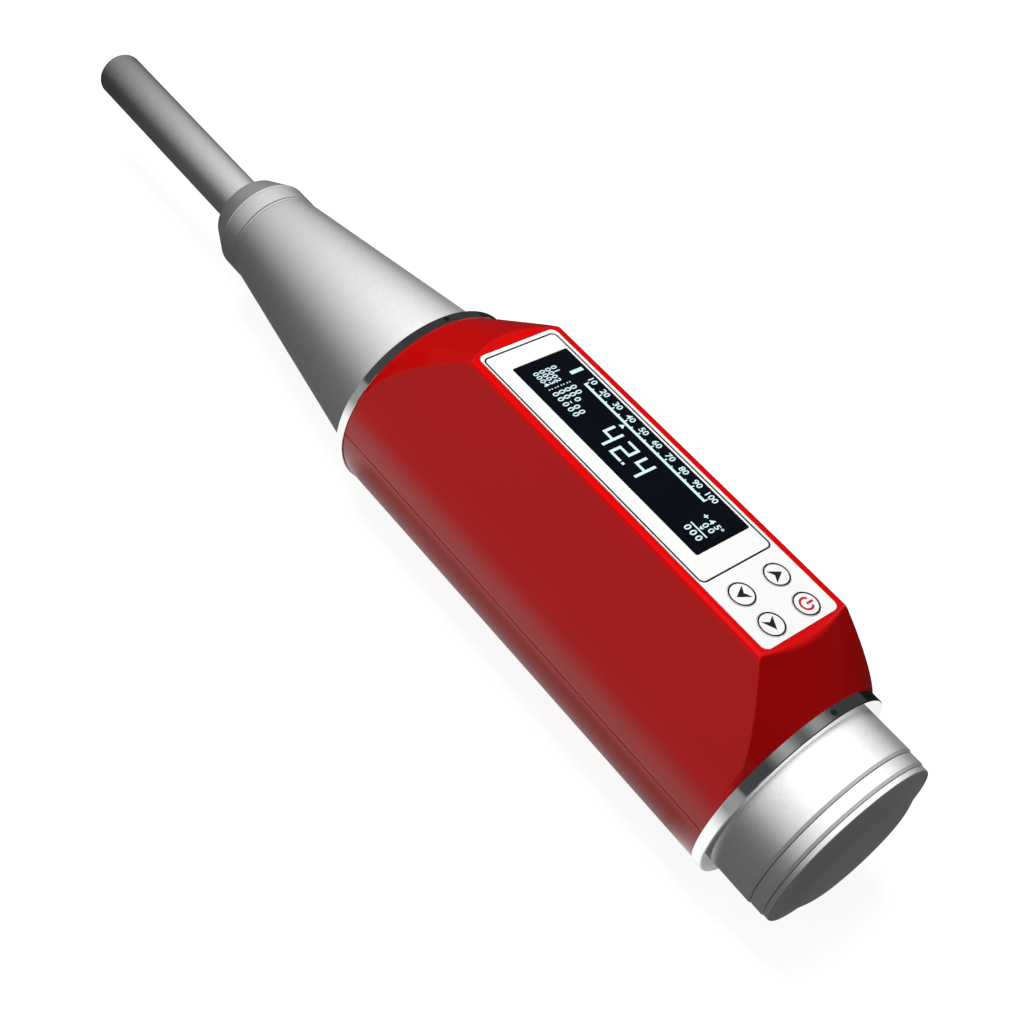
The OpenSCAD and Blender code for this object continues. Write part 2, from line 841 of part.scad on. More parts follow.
module board_screws() {
    color(steel_colour) place()
        for (p = board_screw_places()) {
            post(p.x, p.y, z_board0 - board_head_t, z_board0, board_head_r);
            post(p.x, p.y, z_board0, z_board1 + board_screw_bite, board_screw_r);
        }
}

module key_switches() {
    color("dimgray") place()
        for (p = key_places())
            block(p.x - switch_w / 2, p.x + switch_w / 2, p.y - switch_w / 2, p.y + switch_w / 2,
                  z_board1, z_switch1);
}

module battery_pack() {
    y0 = y_panel0 + battery_start;
    color("royalblue") place()
        round_plate(-battery_w / 2, battery_w / 2, y0, y0 + battery_len,
                    z_sensor1 + battery_gap, z_board0, battery_round);
}

module position_sensor() {
    color("darkgreen") place()
        block(-sensor_w / 2, sensor_w / 2, y_flag0 - stroke - rider_slot_margin,
              y_flag1 + rider_slot_margin, z_sensor0, z_sensor1);
}

module sensor_ribbon() {
    y1 = min(y_flag1 + rider_slot_margin, y_board1) - ribbon_inset;
    color("peru") place() block(-ribbon_w / 2, ribbon_w / 2, y1 - ribbon_t, y1, z_sensor1, z_board0);
}

module button_spring() {
    color(spring_colour) place() at_lock() translate([0, 0, barrel_r + seat_gap])
        coil(button_coil_r, button_wire_r, button_turns, lock_cave1 - barrel_r - 2 * seat_gap);
}

module plunger() {
    // The edge's centre lies where its arc touches both the round end and the shank
    edge_x = plunger_r - tip_edge_r;
    crown_angle = asin(edge_x / (tip_sphere_r - tip_edge_r));
    edge_y = y_tip - tip_sphere_r + edge_x / tan(crown_angle);
    edge = arc_points([edge_x, edge_y], tip_edge_r, 0, 90 - crown_angle, 6);
    crown = arc_points([0, y_tip - tip_sphere_r], tip_sphere_r, 90 - crown_angle, 90, 8);
    color(steel_colour) place() difference() {
        turned(concat([[0, y_shoulder0],
                       [shoulder_r, y_shoulder0],
                       [shoulder_r, y_shoulder1],
                       [plunger_r - neck_relief, y_shoulder1],
                       [plunger_r - neck_relief, y_neck1],
                       [plunger_r, y_neck1]],
                      edge, [for (i = [1:len(crown) - 1]) crown[i]]));
        rod(y_shoulder0 - overrun, y_bore_end, guide_bar_r + slip);
    }
}

module buffer_spring() {
    color(spring_colour) place()
        axial_spring(y_shoulder0 + bar_insert, y_bore_end, buffer_coil_r, buffer_wire_r, buffer_turns);
}

module guide_bar() {
    color(bright_colour) place()
        rod(y_disc0 - bar_nut_t - bar_tail, y_shoulder0 + bar_insert, guide_bar_r);
}

module guide_disc() {
    color(steel_colour) place() difference() {
        tube(y_disc0, y_disc1, disc_r, guide_bar_r + slip);
        block(-rider_notch_w / 2, rider_notch_w / 2, y_disc0 - overrun, y_disc1 + overrun,
              z_rider0 - free_gap, disc_r + overrun);
        block(-pawl_slot_w / 2, pawl_slot_w / 2, y_disc0 - overrun, y_disc1 + overrun,
              -disc_r - overrun, z_tail0);
        block(-pawl_slot_w / 2, pawl_slot_w / 2, y_disc0 - overrun, y_pocket,
              z_tail0 - overrun, z_tail1 + free_gap);
        translate([0, y_pivot, z_pivot]) rotate([0, 90, 0])
            cylinder(h = 2 * disc_r, r = pawl_pin_r + slip, center = true);
    }
}

module guide_bar_nut() {
    color(steel_colour) place() difference() {
        hex_bar(y_disc0 - bar_nut_t, y_disc0, bar_nut_flats);
        rod(y_disc0 - bar_nut_t - overrun, y_disc0 + overrun, guide_bar_r + slip);
    }
}

module pawl_pin() {
    low = pawl_pin_r - z_pivot;
    half = sqrt(disc_r * disc_r - low * low) - free_gap;
    color(steel_colour) place() translate([0, y_pivot, z_pivot]) rotate([0, 90, 0])
        cylinder(h = 2 * half, r = pawl_pin_r, center = true);
}

module pawl_spring() {
    color(spring_colour) place() translate([0, 0, (z_tail0 + z_tail1) / 2])
        axial_spring(y_tail1, y_pocket, pawl_coil_r, pawl_wire_r, pawl_turns);
}

module pawl() {
    color(steel_colour) place() difference() {
        union() {
            translate([0, y_pivot, z_pivot]) rotate([0, 90, 0])
                cylinder(h = pawl_t, r = pawl_boss_r, center = true);
            block(-pawl_t / 2, pawl_t / 2, y_pivot, y_hook1, z_arm_low, z_arm_top);
            block(-pawl_t / 2, pawl_t / 2, y_hook0, y_hook1, z_arm_low, z_hook);
            block(-pawl_t / 2, pawl_t / 2, y_disc0, y_tail1, z_pivot, z_tail1);
            block(-pawl_t / 2, pawl_t / 2, y_tail0, y_tail1, z_tail0, z_tail1);
        }
        translate([0, y_pivot, z_pivot]) rotate([0, 90, 0])
            cylinder(h = 2 * pawl_t, r = pawl_pin_r + slip, center = true);
    }
}

module hammer_mass() {
    groove0 = y_hammer0 + latch_groove_start;
    color(steel_colour) place()
        turned([[guide_bar_r + slip, y_hammer0],
                [hammer_r, y_hammer0],
                [hammer_r, groove0],
                [hammer_r - latch_groove_depth, groove0],
                [hammer_r - latch_groove_depth, groove0 + latch_groove_w],
                [hammer_r, groove0 + latch_groove_w],
                [hammer_r, y_hammer1 - hammer_spigot_len],
                [hammer_spigot_r, y_hammer1 - hammer_spigot_len],
                [hammer_spigot_r, y_hammer1],
                [guide_bar_r + slip, y_hammer1]]);
}

module rider() {
    color("black") place() difference() {
        union() {
            block(-rider_w / 2, rider_w / 2, y_rider0, y_rider1, z_rider0, z_rider1);
            block(-rider_flag_w / 2, rider_flag_w / 2, y_flag0, y_flag1, z_rider0, barrel_r);
        }
        translate([0, 0, rider_rod_z]) rod(y_rider0 - overrun, y_rider1 + overrun, rider_rod_r + slip);
    }
}

module rider_friction_ring() {
    color("dimgray") place() translate([0, 0, rider_rod_z])
        tube(y_rider1, y_rider1 + friction_ring_t, friction_ring_r, rider_rod_r + slip);
}

module lock_button() {
    color(dark_colour) place() at_lock() difference() {
        union() {
            rotate_extrude() polygon(concat(
                [[0, lock_flange0], [lock_flange_r, lock_flange0], [lock_flange_r, lock_flange1],
                 [lock_cap_r, lock_flange1]],
                arc_points([lock_cap_r - lock_cap_round, lock_top - lock_cap_round], lock_cap_round, 0, 90, 6),
                [[0, lock_top]]));
            post(0, 0, lock_pin_end, lock_flange0, lock_pin_r);
        }
        difference() {
            post(0, 0, lock_flange0 - overrun, lock_cave1, lock_cave_r);
            post(0, 0, lock_flange0 - 2 * overrun, lock_cave1 + overrun, lock_pin_r);
        }
    }
}

// A key with the flange that keeps it in and the stem that works its switch
module key(place_index) {
    p = key_places()[place_index];
    place() {
        post(p.x, p.y, z_flange1, z_overlay + key_proud, key_r);
        post(p.x, p.y, z_flange0, z_flange1, key_flange_r);
        post(p.x, p.y, z_stem0, z_flange0, key_stem_r);
    }
}

module key_up() {
    color("white") key(0);
}

module key_down() {
    color("white") key(1);
}

module key_power() {
    color("white") key(2);
}

module key_next() {
    color("white") key(3);
}

echo(impact_spring_gap = coil_gap(impact_turns,
    y_sleeve0 - y_hammer1 + hammer_spigot_len - 2 * seat_gap, impact_wire_r));
echo(return_spring_gap = coil_gap(return_turns, y_disc0 - y_floor - 2 * seat_gap, return_wire_r));
echo(buffer_spring_gap = coil_gap(buffer_turns,
    plunger_bore_depth - bar_insert - 2 * seat_gap, buffer_wire_r));
echo(button_spring_gap = coil_gap(button_turns, lock_cave1 - barrel_r - 2 * seat_gap, button_wire_r));
echo(pawl_spring_gap = coil_gap(pawl_turns, y_pocket - y_tail1 - 2 * seat_gap, pawl_wire_r));

housing_upper_shell();
housing_lower_shell();
barrel_tube();
rear_ring();
front_ring();
ring_set_screws();
shell_screws();
rear_cap();
cap_band();
end_cap();
trip_screw();
trip_lock_nut();
front_cone();
nose_cap();
felt_washer();
split_ring();
guide_sleeve();
impact_spring();
return_spring();
rider_rod();
keypad_overlay();
display_window();
display_module();
main_board();
board_screws();
key_switches();
battery_pack();
position_sensor();
sensor_ribbon();
button_spring();
plunger();
buffer_spring();
guide_bar();
guide_disc();
guide_bar_nut();
pawl_pin();
pawl_spring();
pawl();
hammer_mass();
rider();
rider_friction_ring();
lock_button();
key_up();
key_down();
key_power();
key_next();
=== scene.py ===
"""Looks of the concrete test hammer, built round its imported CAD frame."""
import json
import math

import bmesh
import bpy
from mathutils import Matrix, Vector


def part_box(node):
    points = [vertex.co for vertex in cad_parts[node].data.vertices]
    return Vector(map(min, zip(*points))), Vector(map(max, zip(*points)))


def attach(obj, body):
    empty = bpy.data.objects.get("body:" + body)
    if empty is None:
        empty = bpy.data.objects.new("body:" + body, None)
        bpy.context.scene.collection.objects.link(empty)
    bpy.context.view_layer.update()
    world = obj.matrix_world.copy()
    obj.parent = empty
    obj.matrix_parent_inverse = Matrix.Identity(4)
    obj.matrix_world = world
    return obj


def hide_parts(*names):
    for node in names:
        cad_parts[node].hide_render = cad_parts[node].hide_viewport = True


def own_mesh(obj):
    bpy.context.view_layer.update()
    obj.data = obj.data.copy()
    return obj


bl_info = {
    "name": "Concrete test hammer looks",
    "version": (1, 0, 0),
    "blender": (4, 5, 0),
    "location": "3D View > Sidebar > Hammer",
    "description": "Builds the visible pieces, finishes and studio of a concrete test hammer",
    "category": "Object",
}

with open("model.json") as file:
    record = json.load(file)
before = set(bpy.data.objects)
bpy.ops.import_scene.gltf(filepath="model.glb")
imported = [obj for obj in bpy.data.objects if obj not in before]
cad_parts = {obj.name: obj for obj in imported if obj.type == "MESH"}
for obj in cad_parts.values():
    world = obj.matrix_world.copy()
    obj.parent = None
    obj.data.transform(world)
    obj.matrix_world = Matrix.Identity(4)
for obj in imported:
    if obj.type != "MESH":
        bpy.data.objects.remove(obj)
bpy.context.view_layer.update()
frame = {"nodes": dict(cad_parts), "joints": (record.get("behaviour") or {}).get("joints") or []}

MM = 0.001
MICRON = 1e-6
TURN = 2 * math.pi
QUARTER = math.pi / 2
CURVE_UNIT = 1000
FONT_SIZE = 1.42
FONT_WEIGHT = 0.025


def span(node):
    """Rear and front end of a CAD node along the tool."""
    low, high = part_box(node)
    return low.y, high.y


def half_width(node):
    """Half of a CAD node's width across the tool."""
    low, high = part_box(node)
    return (high.x - low.x) / 2


# Places that the frame gives
AXIS_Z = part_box("rear_ring")[1].z / 2
RING_R = half_width("rear_ring")
REAR_RING_Y = span("rear_ring")
FRONT_RING_Y = span("front_ring")
SHELL_Y = span("housing_upper_shell")
SHELL_R = half_width("housing_upper_shell")
SHELL_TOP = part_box("housing_upper_shell")[1].z
PARTING_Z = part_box("housing_upper_shell")[0].z
BARREL_R = half_width("barrel_tube")
BARREL_Y = span("barrel_tube")
CAP_Y = span("rear_cap")
BAND_Y = span("cap_band")
END_Y = span("end_cap")
CONE_Y = span("front_cone")
NOSE_Y = span("nose_cap")
PLUNGER_Y = span("plunger")
SLEEVE_Y = span("guide_sleeve")
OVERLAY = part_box("keypad_overlay")
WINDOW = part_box("display_window")
KEYS = ("key_up", "key_down", "key_next", "key_power")
JOINTS = {joint["name"]: joint for joint in frame["joints"]}
LOCK_OUT = -Vector(JOINTS["lock_button_press"]["axis"])
LOCK_Y = sum(span("lock_button")) / 2
LOCK_TURN = Vector((0, 0, 1)).rotation_difference(LOCK_OUT)

# Sizes that several pieces share
SLIP = 0.05 * MM
KEY_R = 3.7 * MM
SET_SCREW_R = 0.75 * MM
SCREW_HEAD_R = 1.9 * MM
WINDOW_FLANGE = 1 * MM
WINDOW_CORNER = 0.6 * MM
BORE_R = 20.5 * MM
LOCK_CAP_R = 4 * MM
LOCK_TOP = SHELL_R + 3 * MM
LOCK_CAVE = LOCK_TOP - 1.6 * MM


# Settings that a user would change
def number_setting(name, text, value, **more):
    """A plain number."""
    return bpy.props.FloatProperty(name=name, description=text, default=value, **more)


def length(name, text, value):
    """A length, given in millimetres."""
    return number_setting(name, text, value * MM, unit="LENGTH", precision=5)


def angle(name, text, degrees):
    """An angle, given in degrees."""
    return number_setting(name, text, math.radians(degrees), subtype="ANGLE")


def power(name, text, watts):
    """A lamp's power."""
    return number_setting(name, text, watts, unit="POWER")


def share(name, text, value, most=1.0):
    """A number from zero up to a limit."""
    return number_setting(name, text, value, min=0, max=most)


def colour(name, text, value):
    """A colour."""
    return bpy.props.FloatVectorProperty(
        name=name, description=text, default=value, subtype="COLOR", min=0, max=1)


class HAMMER_PG_housing(bpy.types.PropertyGroup):
    """The two moulded shells."""
    top_width: length("Top width", "Width of the flat top across its round edges", 32.4)
    edge_radius: length("Top edge", "Radius of the edges round the flat top", 1.7)
    brow_radius: length("Brow", "Radius where the flat top meets the middle of a slope", 4.5)
    crease_radius: length("Crease", "Radius where a slope meets a flat side", 0.7)
    slope_foot: length("Slope foot", "How far the slopes' feet lie outside the round body", 0.2)
    rear_slope: angle("Rear slope", "Angle of the rear slope to the axis", 46.5)
    front_slope: angle("Front slope", "Angle of the front slope to the axis", 32.5)
    wall: length("Wall", "Wall of the shells", 2)
    lip: length("Lip", "Round on the shells' meeting edges", 0.22)
    parting_gap: length("Parting gap", "Gap between the two shells", 0.1)
    boss_radius: length("Boss", "Radius of a screw boss", 2.6)
    head_hole: length("Head hole", "Radius of a screw head's hole", 1.95)
    head_depth: length("Head depth", "How far below the axis a screw head seats", 8)
    head_room: length("Head room", "Room for a screw head behind its plug", 1.6)
    plug_seam: length("Plug seam", "Width of the seam round a plug", 0.06)
    red: colour("Red", "Colour of the moulded shells", (0.64, 0.002, 0.0025))


class HAMMER_PG_metal(bpy.types.PropertyGroup):
    """The turned metal parts."""
    edge: length("Edge", "Round on the turned edges", 0.3)
    ring_edge: length("Ring edge", "Bevel on the rear ring's rear edge", 0.25)
    slot_depth: length("Slot depth", "Depth of the narrow slot at a joint", 1.4)
    slot_width: length("Slot width", "Width of the narrow slot at a joint", 0.24)
    chamfer: length("Chamfer", "Length of the chamfer beside a joint", 0.85)
    chamfer_depth: length("Chamfer depth", "Depth of the chamfer beside a joint", 0.45)
    groove: length("Groove", "Width of the nose's fine groove", 0.65)
    land: length("Land", "Width of the straight land at the cone's front", 0.6)
    land_height: length("Land height", "Height of the land above the cone", 0.1)
    groove_depth: length("Groove depth", "Depth of the nose's fine groove", 0.22)
    joint_depth: length("Joint depth", "Depth of the sloping wall where the nose meets the cone", 0.5)
    cone_front: length("Cone front", "Radius of the cone at the nose", 15.5)
    nose_front: length("Nose front", "Radius of the nose's front", 12)
    nose_band: length("Nose band", "Length of the nose's straight band", 6.7)
    shank: length("Shank", "Radius of the plunger", 7.5)
    tip_sphere: length("Tip", "Radius of the plunger's round end", 25)
    tip_edge: length("Tip edge", "Round on the plunger's front edge", 1.5)
    boss: length("End boss", "Radius of the raised boss on the end cap", 17)
    crown: length("Crown", "Rise of the end cap's crown", 0.6)
    alloy: colour("Alloy", "Colour of the satin alloy", (0.66, 0.66, 0.66))
    # Painted shade: the alloy's colour darkens towards the nose, for light that falls off forwards
    alloy_painted_shade: share("Alloy painted shade", "Share of its tone that the alloy loses towards the nose", 0.42)
    bright: colour("Bright", "Colour of the polished rings", (0.82, 0.83, 0.83))
    steel: colour("Steel", "Colour of the ground plunger", (0.42, 0.42, 0.42))
    # Painted shade: the plunger's colour darkens towards its tip, for light that falls off forwards
    steel_painted_shade: share("Steel painted shade", "Share of its tone that the plunger loses towards its tip", 0.66)
    # The end face's colour: the alloy darkened as painted shade
    dark: colour("Dark", "Colour of the end face", (0.4, 0.4, 0.4))


class HAMMER_PG_panel(bpy.types.PropertyGroup):
    """The keypad film, its print and the keys."""
    corner: length("Corner", "Corner radius of the film", 2)
    film_round: length("Film edge", "Round on the film's edges", 0.1)
    ink: length("Ink", "Thickness of the print", 0.02)
    line: length("Line", "Width of the printed outline", 0.5)
    line_left: length("Outline left", "Distance of the outline from the film's left side", 0.4)
    line_right: length("Outline right", "Distance of the outline from the film's right side", 0.95)
    line_front: length("Outline front", "Distance of the outline from the film's front", 1.25)
    line_rear: length("Outline rear", "Distance of the outline from the film's rear", 22.2)
    key_gap: length("Key gap", "Gap round a key", 0.08)
    key_line: length("Key line", "Width of the ring printed on a key", 0.46)
    arrow: length("Arrow", "Half length of an arrow", 1.85)
    film: colour("Film", "Colour of the film and keys", (0.9, 0.9, 0.895))
    black: colour("Black", "Colour of the print", (0.012, 0.012, 0.013))
    crimson: colour("Crimson", "Colour of the power sign", (0.55, 0.022, 0.03))


class HAMMER_PG_display(bpy.types.PropertyGroup):
    """The display's glass and figures."""
    reading: bpy.props.StringProperty(name="Reading", description="Number shown large", default="42.4")
    figure_height: length("Figure height", "Height of the large figures", 7.5)
    figure_width: length("Figure width", "Width of a large figure", 4.15)
    figure_pitch: length("Figure pitch", "Distance between large figures", 6.2)
    stroke: length("Stroke", "Width of a large figure's strokes", 0.82)
    scale_line: length("Scale line", "Width of the scale's line", 0.85)
    scale_step: length("Scale step", "Distance between two numbers of the scale", 5.11)
    small: length("Small figures", "Height of the small figures", 1.95)
    small_pitch: length("Small pitch", "Distance between small figures in a row", 2.02)
    glass: colour("Glass", "Colour of the glass", (0.0015, 0.0018, 0.0028))
    light: colour("Light", "Colour of the lit figures", (0.68, 0.93, 0.98))


class HAMMER_PG_studio(bpy.types.PropertyGroup):
    """The floor, lamps and backdrop."""
    key: power("Key lamp", "Power of the lamp above the tool", 6.7)
    side: power("Side lamp", "Power of the lamp at the tool's left", 1.2)
    sky: share("Sky", "Strength of the light from all round", 0.12, 10)
    floor: colour("Floor", "Colour of the floor", (0.3, 0.3, 0.3))
    lift: share("Floor lift", "How far the floor is lifted towards white", 0.9)


# Node trees, for finishes and for geometry
def math_node(operation, turned_round=False):
    """A method that adds a Math node to the bench of its wire."""
    def method(self, other=0.0):
        first, second = (other, self) if turned_round else (self, other)
        return self.bench.add("ShaderNodeMath", {0: first, 1: second}, {"operation": operation})
    return method


class Wire:
    """One output of a node. Sums that are written with it add Math nodes."""

    def __init__(self, bench, socket):
        self.bench = bench
        self.socket = socket

    __add__ = math_node("ADD")
    __radd__ = math_node("ADD", True)
    __sub__ = math_node("SUBTRACT")
    __rsub__ = math_node("SUBTRACT", True)
    __mul__ = math_node("MULTIPLY")
    __rmul__ = math_node("MULTIPLY", True)
    __truediv__ = math_node("DIVIDE")
    __rtruediv__ = math_node("DIVIDE", True)
    __mod__ = math_node("FLOORED_MODULO")
    least = math_node("MINIMUM")
    most = math_node("MAXIMUM")
    sine = math_node("SINE")
    cosine = math_node("COSINE")

    def within(self, low=0, high=1):
        return self.most(low).least(high)

    def ramp(self, start, rate, low=0, high=1):
        """Grows at a rate from a start, between two limits. A rate below zero grows the other way."""
        return ((self - start) * rate).within(low, high)


def zone(*sides):
    """1 inside all of some sides and 0 outside, each a wire, its start and its rate."""
    return math.prod(wire.ramp(start, rate) for wire, start, rate in sides)


def grey(level):
    """A grey as a colour."""
    return (level,) * 3


class Bench:
    """A node tree that is being filled."""

    def __init__(self, tree):
        self.tree = tree

    def add(self, kind, sockets=None, settings=None, out=0):
        """Adds a node with its settings, then its sockets' values or links, and gives one output."""
        node = self.tree.nodes.new(kind)
        for name, value in (settings or {}).items():
            if name == "stops":
                ramp = node.color_ramp.elements
                while len(ramp) < len(value):
                    ramp.new(1)
                for stop, (place, level) in zip(ramp, value):
                    stop.position = place
                    stop.color = (*grey(level), 1)
            else:
                setattr(node, name, value)
        for key, value in (sockets or {}).items():
            if isinstance(value, Wire):
                self.tree.links.new(value.socket, node.inputs[key])
            elif node.inputs[key].type == "RGBA":
                node.inputs[key].default_value = (*value, 1)
            else:
                node.inputs[key].default_value = value
        return Wire(self, node.outputs[out]) if node.outputs else node

    def outputs(self, wire, *names):
        """Some outputs of a wire's node."""
        return [Wire(self, wire.socket.node.outputs[name]) for name in names]

    def parts(self, vector):
        """The three numbers of a vector."""
        return self.outputs(self.add("ShaderNodeSeparateXYZ", {0: vector}), 0, 1, 2)

    def distance(self, vector):
        """The length of a vector."""
        return self.add("ShaderNodeVectorMath", {0: vector}, {"operation": "LENGTH"}, "Value")

    def mix(self, factor, first, second):
        """One colour turning into another."""
        return self.add("ShaderNodeMix", {0: factor, 6: first, 7: second}, {"data_type": "RGBA"}, 2)

    def tone(self, factor, tint, low, high):
        """A colour that turns from a darker tone into a lighter one."""
        return self.mix(factor, Vector(tint) * low, Vector(tint) * high)

    def greys(self, factor, stops):
        """The greys that a factor goes through, from pairs of its value and the grey there."""
        return self.add("ShaderNodeValToRGB", {"Fac": factor}, {"stops": stops})


class Finish(Bench):
    """A material that is being made."""

    def __init__(self, name):
        self.material = bpy.data.materials.new(name + "_look")
        self.material.use_nodes = True
        super().__init__(self.material.node_tree)
        self.tree.nodes.clear()
        self.place = self.add("ShaderNodeTexCoord", out="Object")

    def stretch(self, scale, shift=(0, 0, 0)):
        """The place on the tool, scaled along its three axes and moved."""
        return self.add("ShaderNodeMapping", {"Vector": self.place, "Scale": scale, "Location": shift})

    def noise(self, scale, detail=3):
        """A soft pattern from 0 to 1, whose scale is one number or one for each axis."""
        place = self.place
        if isinstance(scale, tuple):
            place, scale = self.stretch(scale), 1
        return self.add("ShaderNodeTexNoise", {"Vector": place, "Scale": scale, "Detail": detail})

    def rubbed(self, pattern, low, high):
        """How far the edges are rubbed, in patches."""
        edge = self.add("ShaderNodeAttribute", None, {"attribute_name": "edge"}, "Fac")
        return edge * pattern.within(low, high)

    def bump(self, height, strength, depth=0.05):
        """Normals that follow a height, with a depth in millimetres."""
        return self.add("ShaderNodeBump", {"Height": height, "Strength": strength, "Distance": depth * MM})

    def surface(self, sockets):
        """Closes the material with its surface."""
        shader = self.add("ShaderNodeBsdfPrincipled", sockets)
        self.add("ShaderNodeOutputMaterial", {"Surface": shader})
        return self.material


class Growth(Bench):
    """A Geometry Nodes tree that is being made, with named inputs."""

    KINDS = {"m": "NodeSocketFloat", "count": "NodeSocketInt", "vector": "NodeSocketVector",
             "material": "NodeSocketMaterial"}

    def __init__(self, name, inputs):
        super().__init__(bpy.data.node_groups.new(name, "GeometryNodeTree"))
        face = self.tree.interface
        face.new_socket("Geometry", in_out="INPUT", socket_type="NodeSocketGeometry")
        face.new_socket("Geometry", in_out="OUTPUT", socket_type="NodeSocketGeometry")
        self.keys = {label: face.new_socket(label, in_out="INPUT", socket_type=self.KINDS[kind]).identifier
                     for label, kind in inputs.items()}
        self.source = self.tree.nodes.new("NodeGroupInput")

    def given(self, label):
        """The wire of a named input."""
        return Wire(self, self.source.outputs[label])

    def close(self, geometry):
        """Ends the tree in real geometry with its material."""
        real = self.add("GeometryNodeRealizeInstances", {"Geometry": geometry})
        painted = self.add("GeometryNodeSetMaterial", {"Geometry": real, "Material": self.given("Material")})
        output = self.tree.nodes.new("NodeGroupOutput")
        self.tree.links.new(painted.socket, output.inputs[0])
        return self

    def mesh(self, name, values, points=((0, 0, 0),)):
        """The plain mesh that the tree makes from the inputs' values and some points."""
        seed = bpy.data.meshes.new(name)
        seed.from_pydata(points, [], [])
        holder = placed(name, seed)
        modifier = holder.modifiers.new(self.tree.name, "NODES")
        modifier.node_group = self.tree
        for label, value in values.items():
            modifier[self.keys[label]] = value
        made = settled(holder)
        if not made.polygons:
            raise RuntimeError(f"{name} has no faces")
        return made


# Meshes
def shares(count, first=0):
    """Even shares of a way, the last of them 1."""
    return [k / count for k in range(first, count + 1)]


def placed(name, data):
    """A new object in the scene."""
    item = bpy.data.objects.new(name, data)
    bpy.context.scene.collection.objects.link(item)
    return item


def evaluated(item):
    """The plain mesh of an object as its modifiers leave it."""
    graph = bpy.context.evaluated_depsgraph_get()
    return bpy.data.meshes.new_from_object(item.evaluated_get(graph))


def settled(holder):
    """The plain mesh that a holder makes, after which the holder and its own data go."""
    made = evaluated(holder)
    data = holder.data
    bpy.data.objects.remove(holder)
    family = bpy.data.meshes if isinstance(data, bpy.types.Mesh) else bpy.data.curves
    family.remove(data)
    return made


def as_mesh(name, points, faces, edges=None):
    """A mesh from points and faces, which also keeps how much of an edge each point is."""
    mesh = bpy.data.meshes.new(name)
    mesh.from_pydata(points, [], faces)
    if edges is not None:
        worn = mesh.attributes.new("edge", "FLOAT", "POINT")
        worn.data.foreach_set("value", edges)
    return mesh


def outwards(mesh):
    """Merges double points and turns all faces outwards."""
    work = bmesh.new()
    work.from_mesh(mesh)
    bmesh.ops.remove_doubles(work, verts=work.verts, dist=0.5 * MICRON)
    bmesh.ops.recalc_face_normals(work, faces=work.faces)
    work.to_mesh(mesh)
    work.free()
    return mesh


def joined(name, meshes):
    """Several meshes as one."""
    work = bmesh.new()
    for mesh in meshes:
        work.from_mesh(mesh)
    whole = bpy.data.meshes.new(name)
    work.to_mesh(whole)
    work.free()
    for mesh in meshes:
        bpy.data.meshes.remove(mesh)
    return whole


def piece(name, mesh, body, slot, nodes=(), finishes=(), crisp=35):
    """Puts a finished mesh in the scene as a piece that rides on a body."""
    item = placed(name, mesh)
    mesh.materials.clear()
    for material in finishes or [finish(slot)]:
        mesh.materials.append(material)
    mesh.shade_smooth()
    mesh.set_sharp_from_angle(angle=math.radians(crisp))
    weigh = item.modifiers.new("weighted normals", "WEIGHTED_NORMAL")
    weigh.keep_sharp = True
    item.data = evaluated(item)
    item.modifiers.clear()
    bpy.data.meshes.remove(mesh)
    item.data.name = name
    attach(item, body)
    if nodes:
        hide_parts(*nodes)
    return item


def carved(mesh, tools, operation="DIFFERENCE"):
    """Cuts one mesh with others, one after another, or joins them to it."""
    for tool_mesh in tools:
        holder, tool = placed("carved", mesh), placed("tool", tool_mesh)
        cut = holder.modifiers.new("cut", "BOOLEAN")
        cut.operation = operation
        cut.solver = "EXACT"
        cut.object = tool
        mesh = settled(holder)
        bpy.data.objects.remove(tool)
        bpy.data.meshes.remove(tool_mesh)
        if not mesh.polygons:
            raise RuntimeError("a cut has left nothing")
    return mesh


def rounded(corners, steps=5, most=0.45):
    """A closed profile of (radius, station, round) with its corners rounded, as (radius, station, edge).

    One round takes no more than the given share of a side."""
    path = []
    count = len(corners)
    for i, (r, y, size) in enumerate(corners):
        here = Vector((r, y))
        before = Vector(corners[i - 1][:2]) - here
        after = Vector(corners[(i + 1) % count][:2]) - here
        if size <= 0 or before.length < MICRON or after.length < MICRON:
            path.append((r, y, 0.0))
            continue
        bend = math.pi - before.angle(after)
        reach = min(size * math.tan(bend / 2), most * before.length, most * after.length)
        start = here + before.normalized() * reach
        end = here + after.normalized() * reach
        for t in shares(steps):
            point = start * (1 - t) ** 2 + here * 2 * t * (1 - t) + end * t ** 2
            path.append((point.x, point.y, math.sin(math.pi * t)))
    return path


def turned(name, profile, steps):
    """A closed profile of (radius, station, edge) turned about the tool's axis."""
    points, edges, rings, faces = [], [], [], []
    for r, y, edge in profile:
        count = 1 if r < MICRON else steps
        rings.append(range(len(points), len(points) + count))
        for k in range(count):
            a = TURN * k / steps
            points.append((r * math.cos(a), y, AXIS_Z + r * math.sin(a)))
            edges.append(edge)
    for one, two in zip(rings, rings[1:] + rings[:1]):
        if len(one) == 1 and len(two) == 1:
            continue
        for k in range(steps):
            n = (k + 1) % steps
            ring = [one[k % len(one)], one[n % len(one)], two[n % len(two)], two[k % len(two)]]
            faces.append(tuple(dict.fromkeys(ring)))
    return outwards(as_mesh(name, points, faces, edges))


def moved(mesh, matrix):
    """A mesh after a move."""
    mesh.transform(matrix)
    return mesh


def upright(mesh, x=0, y=0):
    """Stands a piece that was turned about the tool's axis upright at a place."""
    back = Matrix.Translation((0, 0, -AXIS_Z))
    return moved(mesh, Matrix.Translation((x, y, 0)) @ Matrix.Rotation(QUARTER, 4, "X") @ back)


def post(low, high, radius, x=0, y=0, steps=64):
    """An upright round tool for cutting holes."""
    profile = [(0, low, 0), (radius, low, 0), (radius, high, 0), (0, high, 0)]
    return upright(turned("post", profile, steps), x, y)


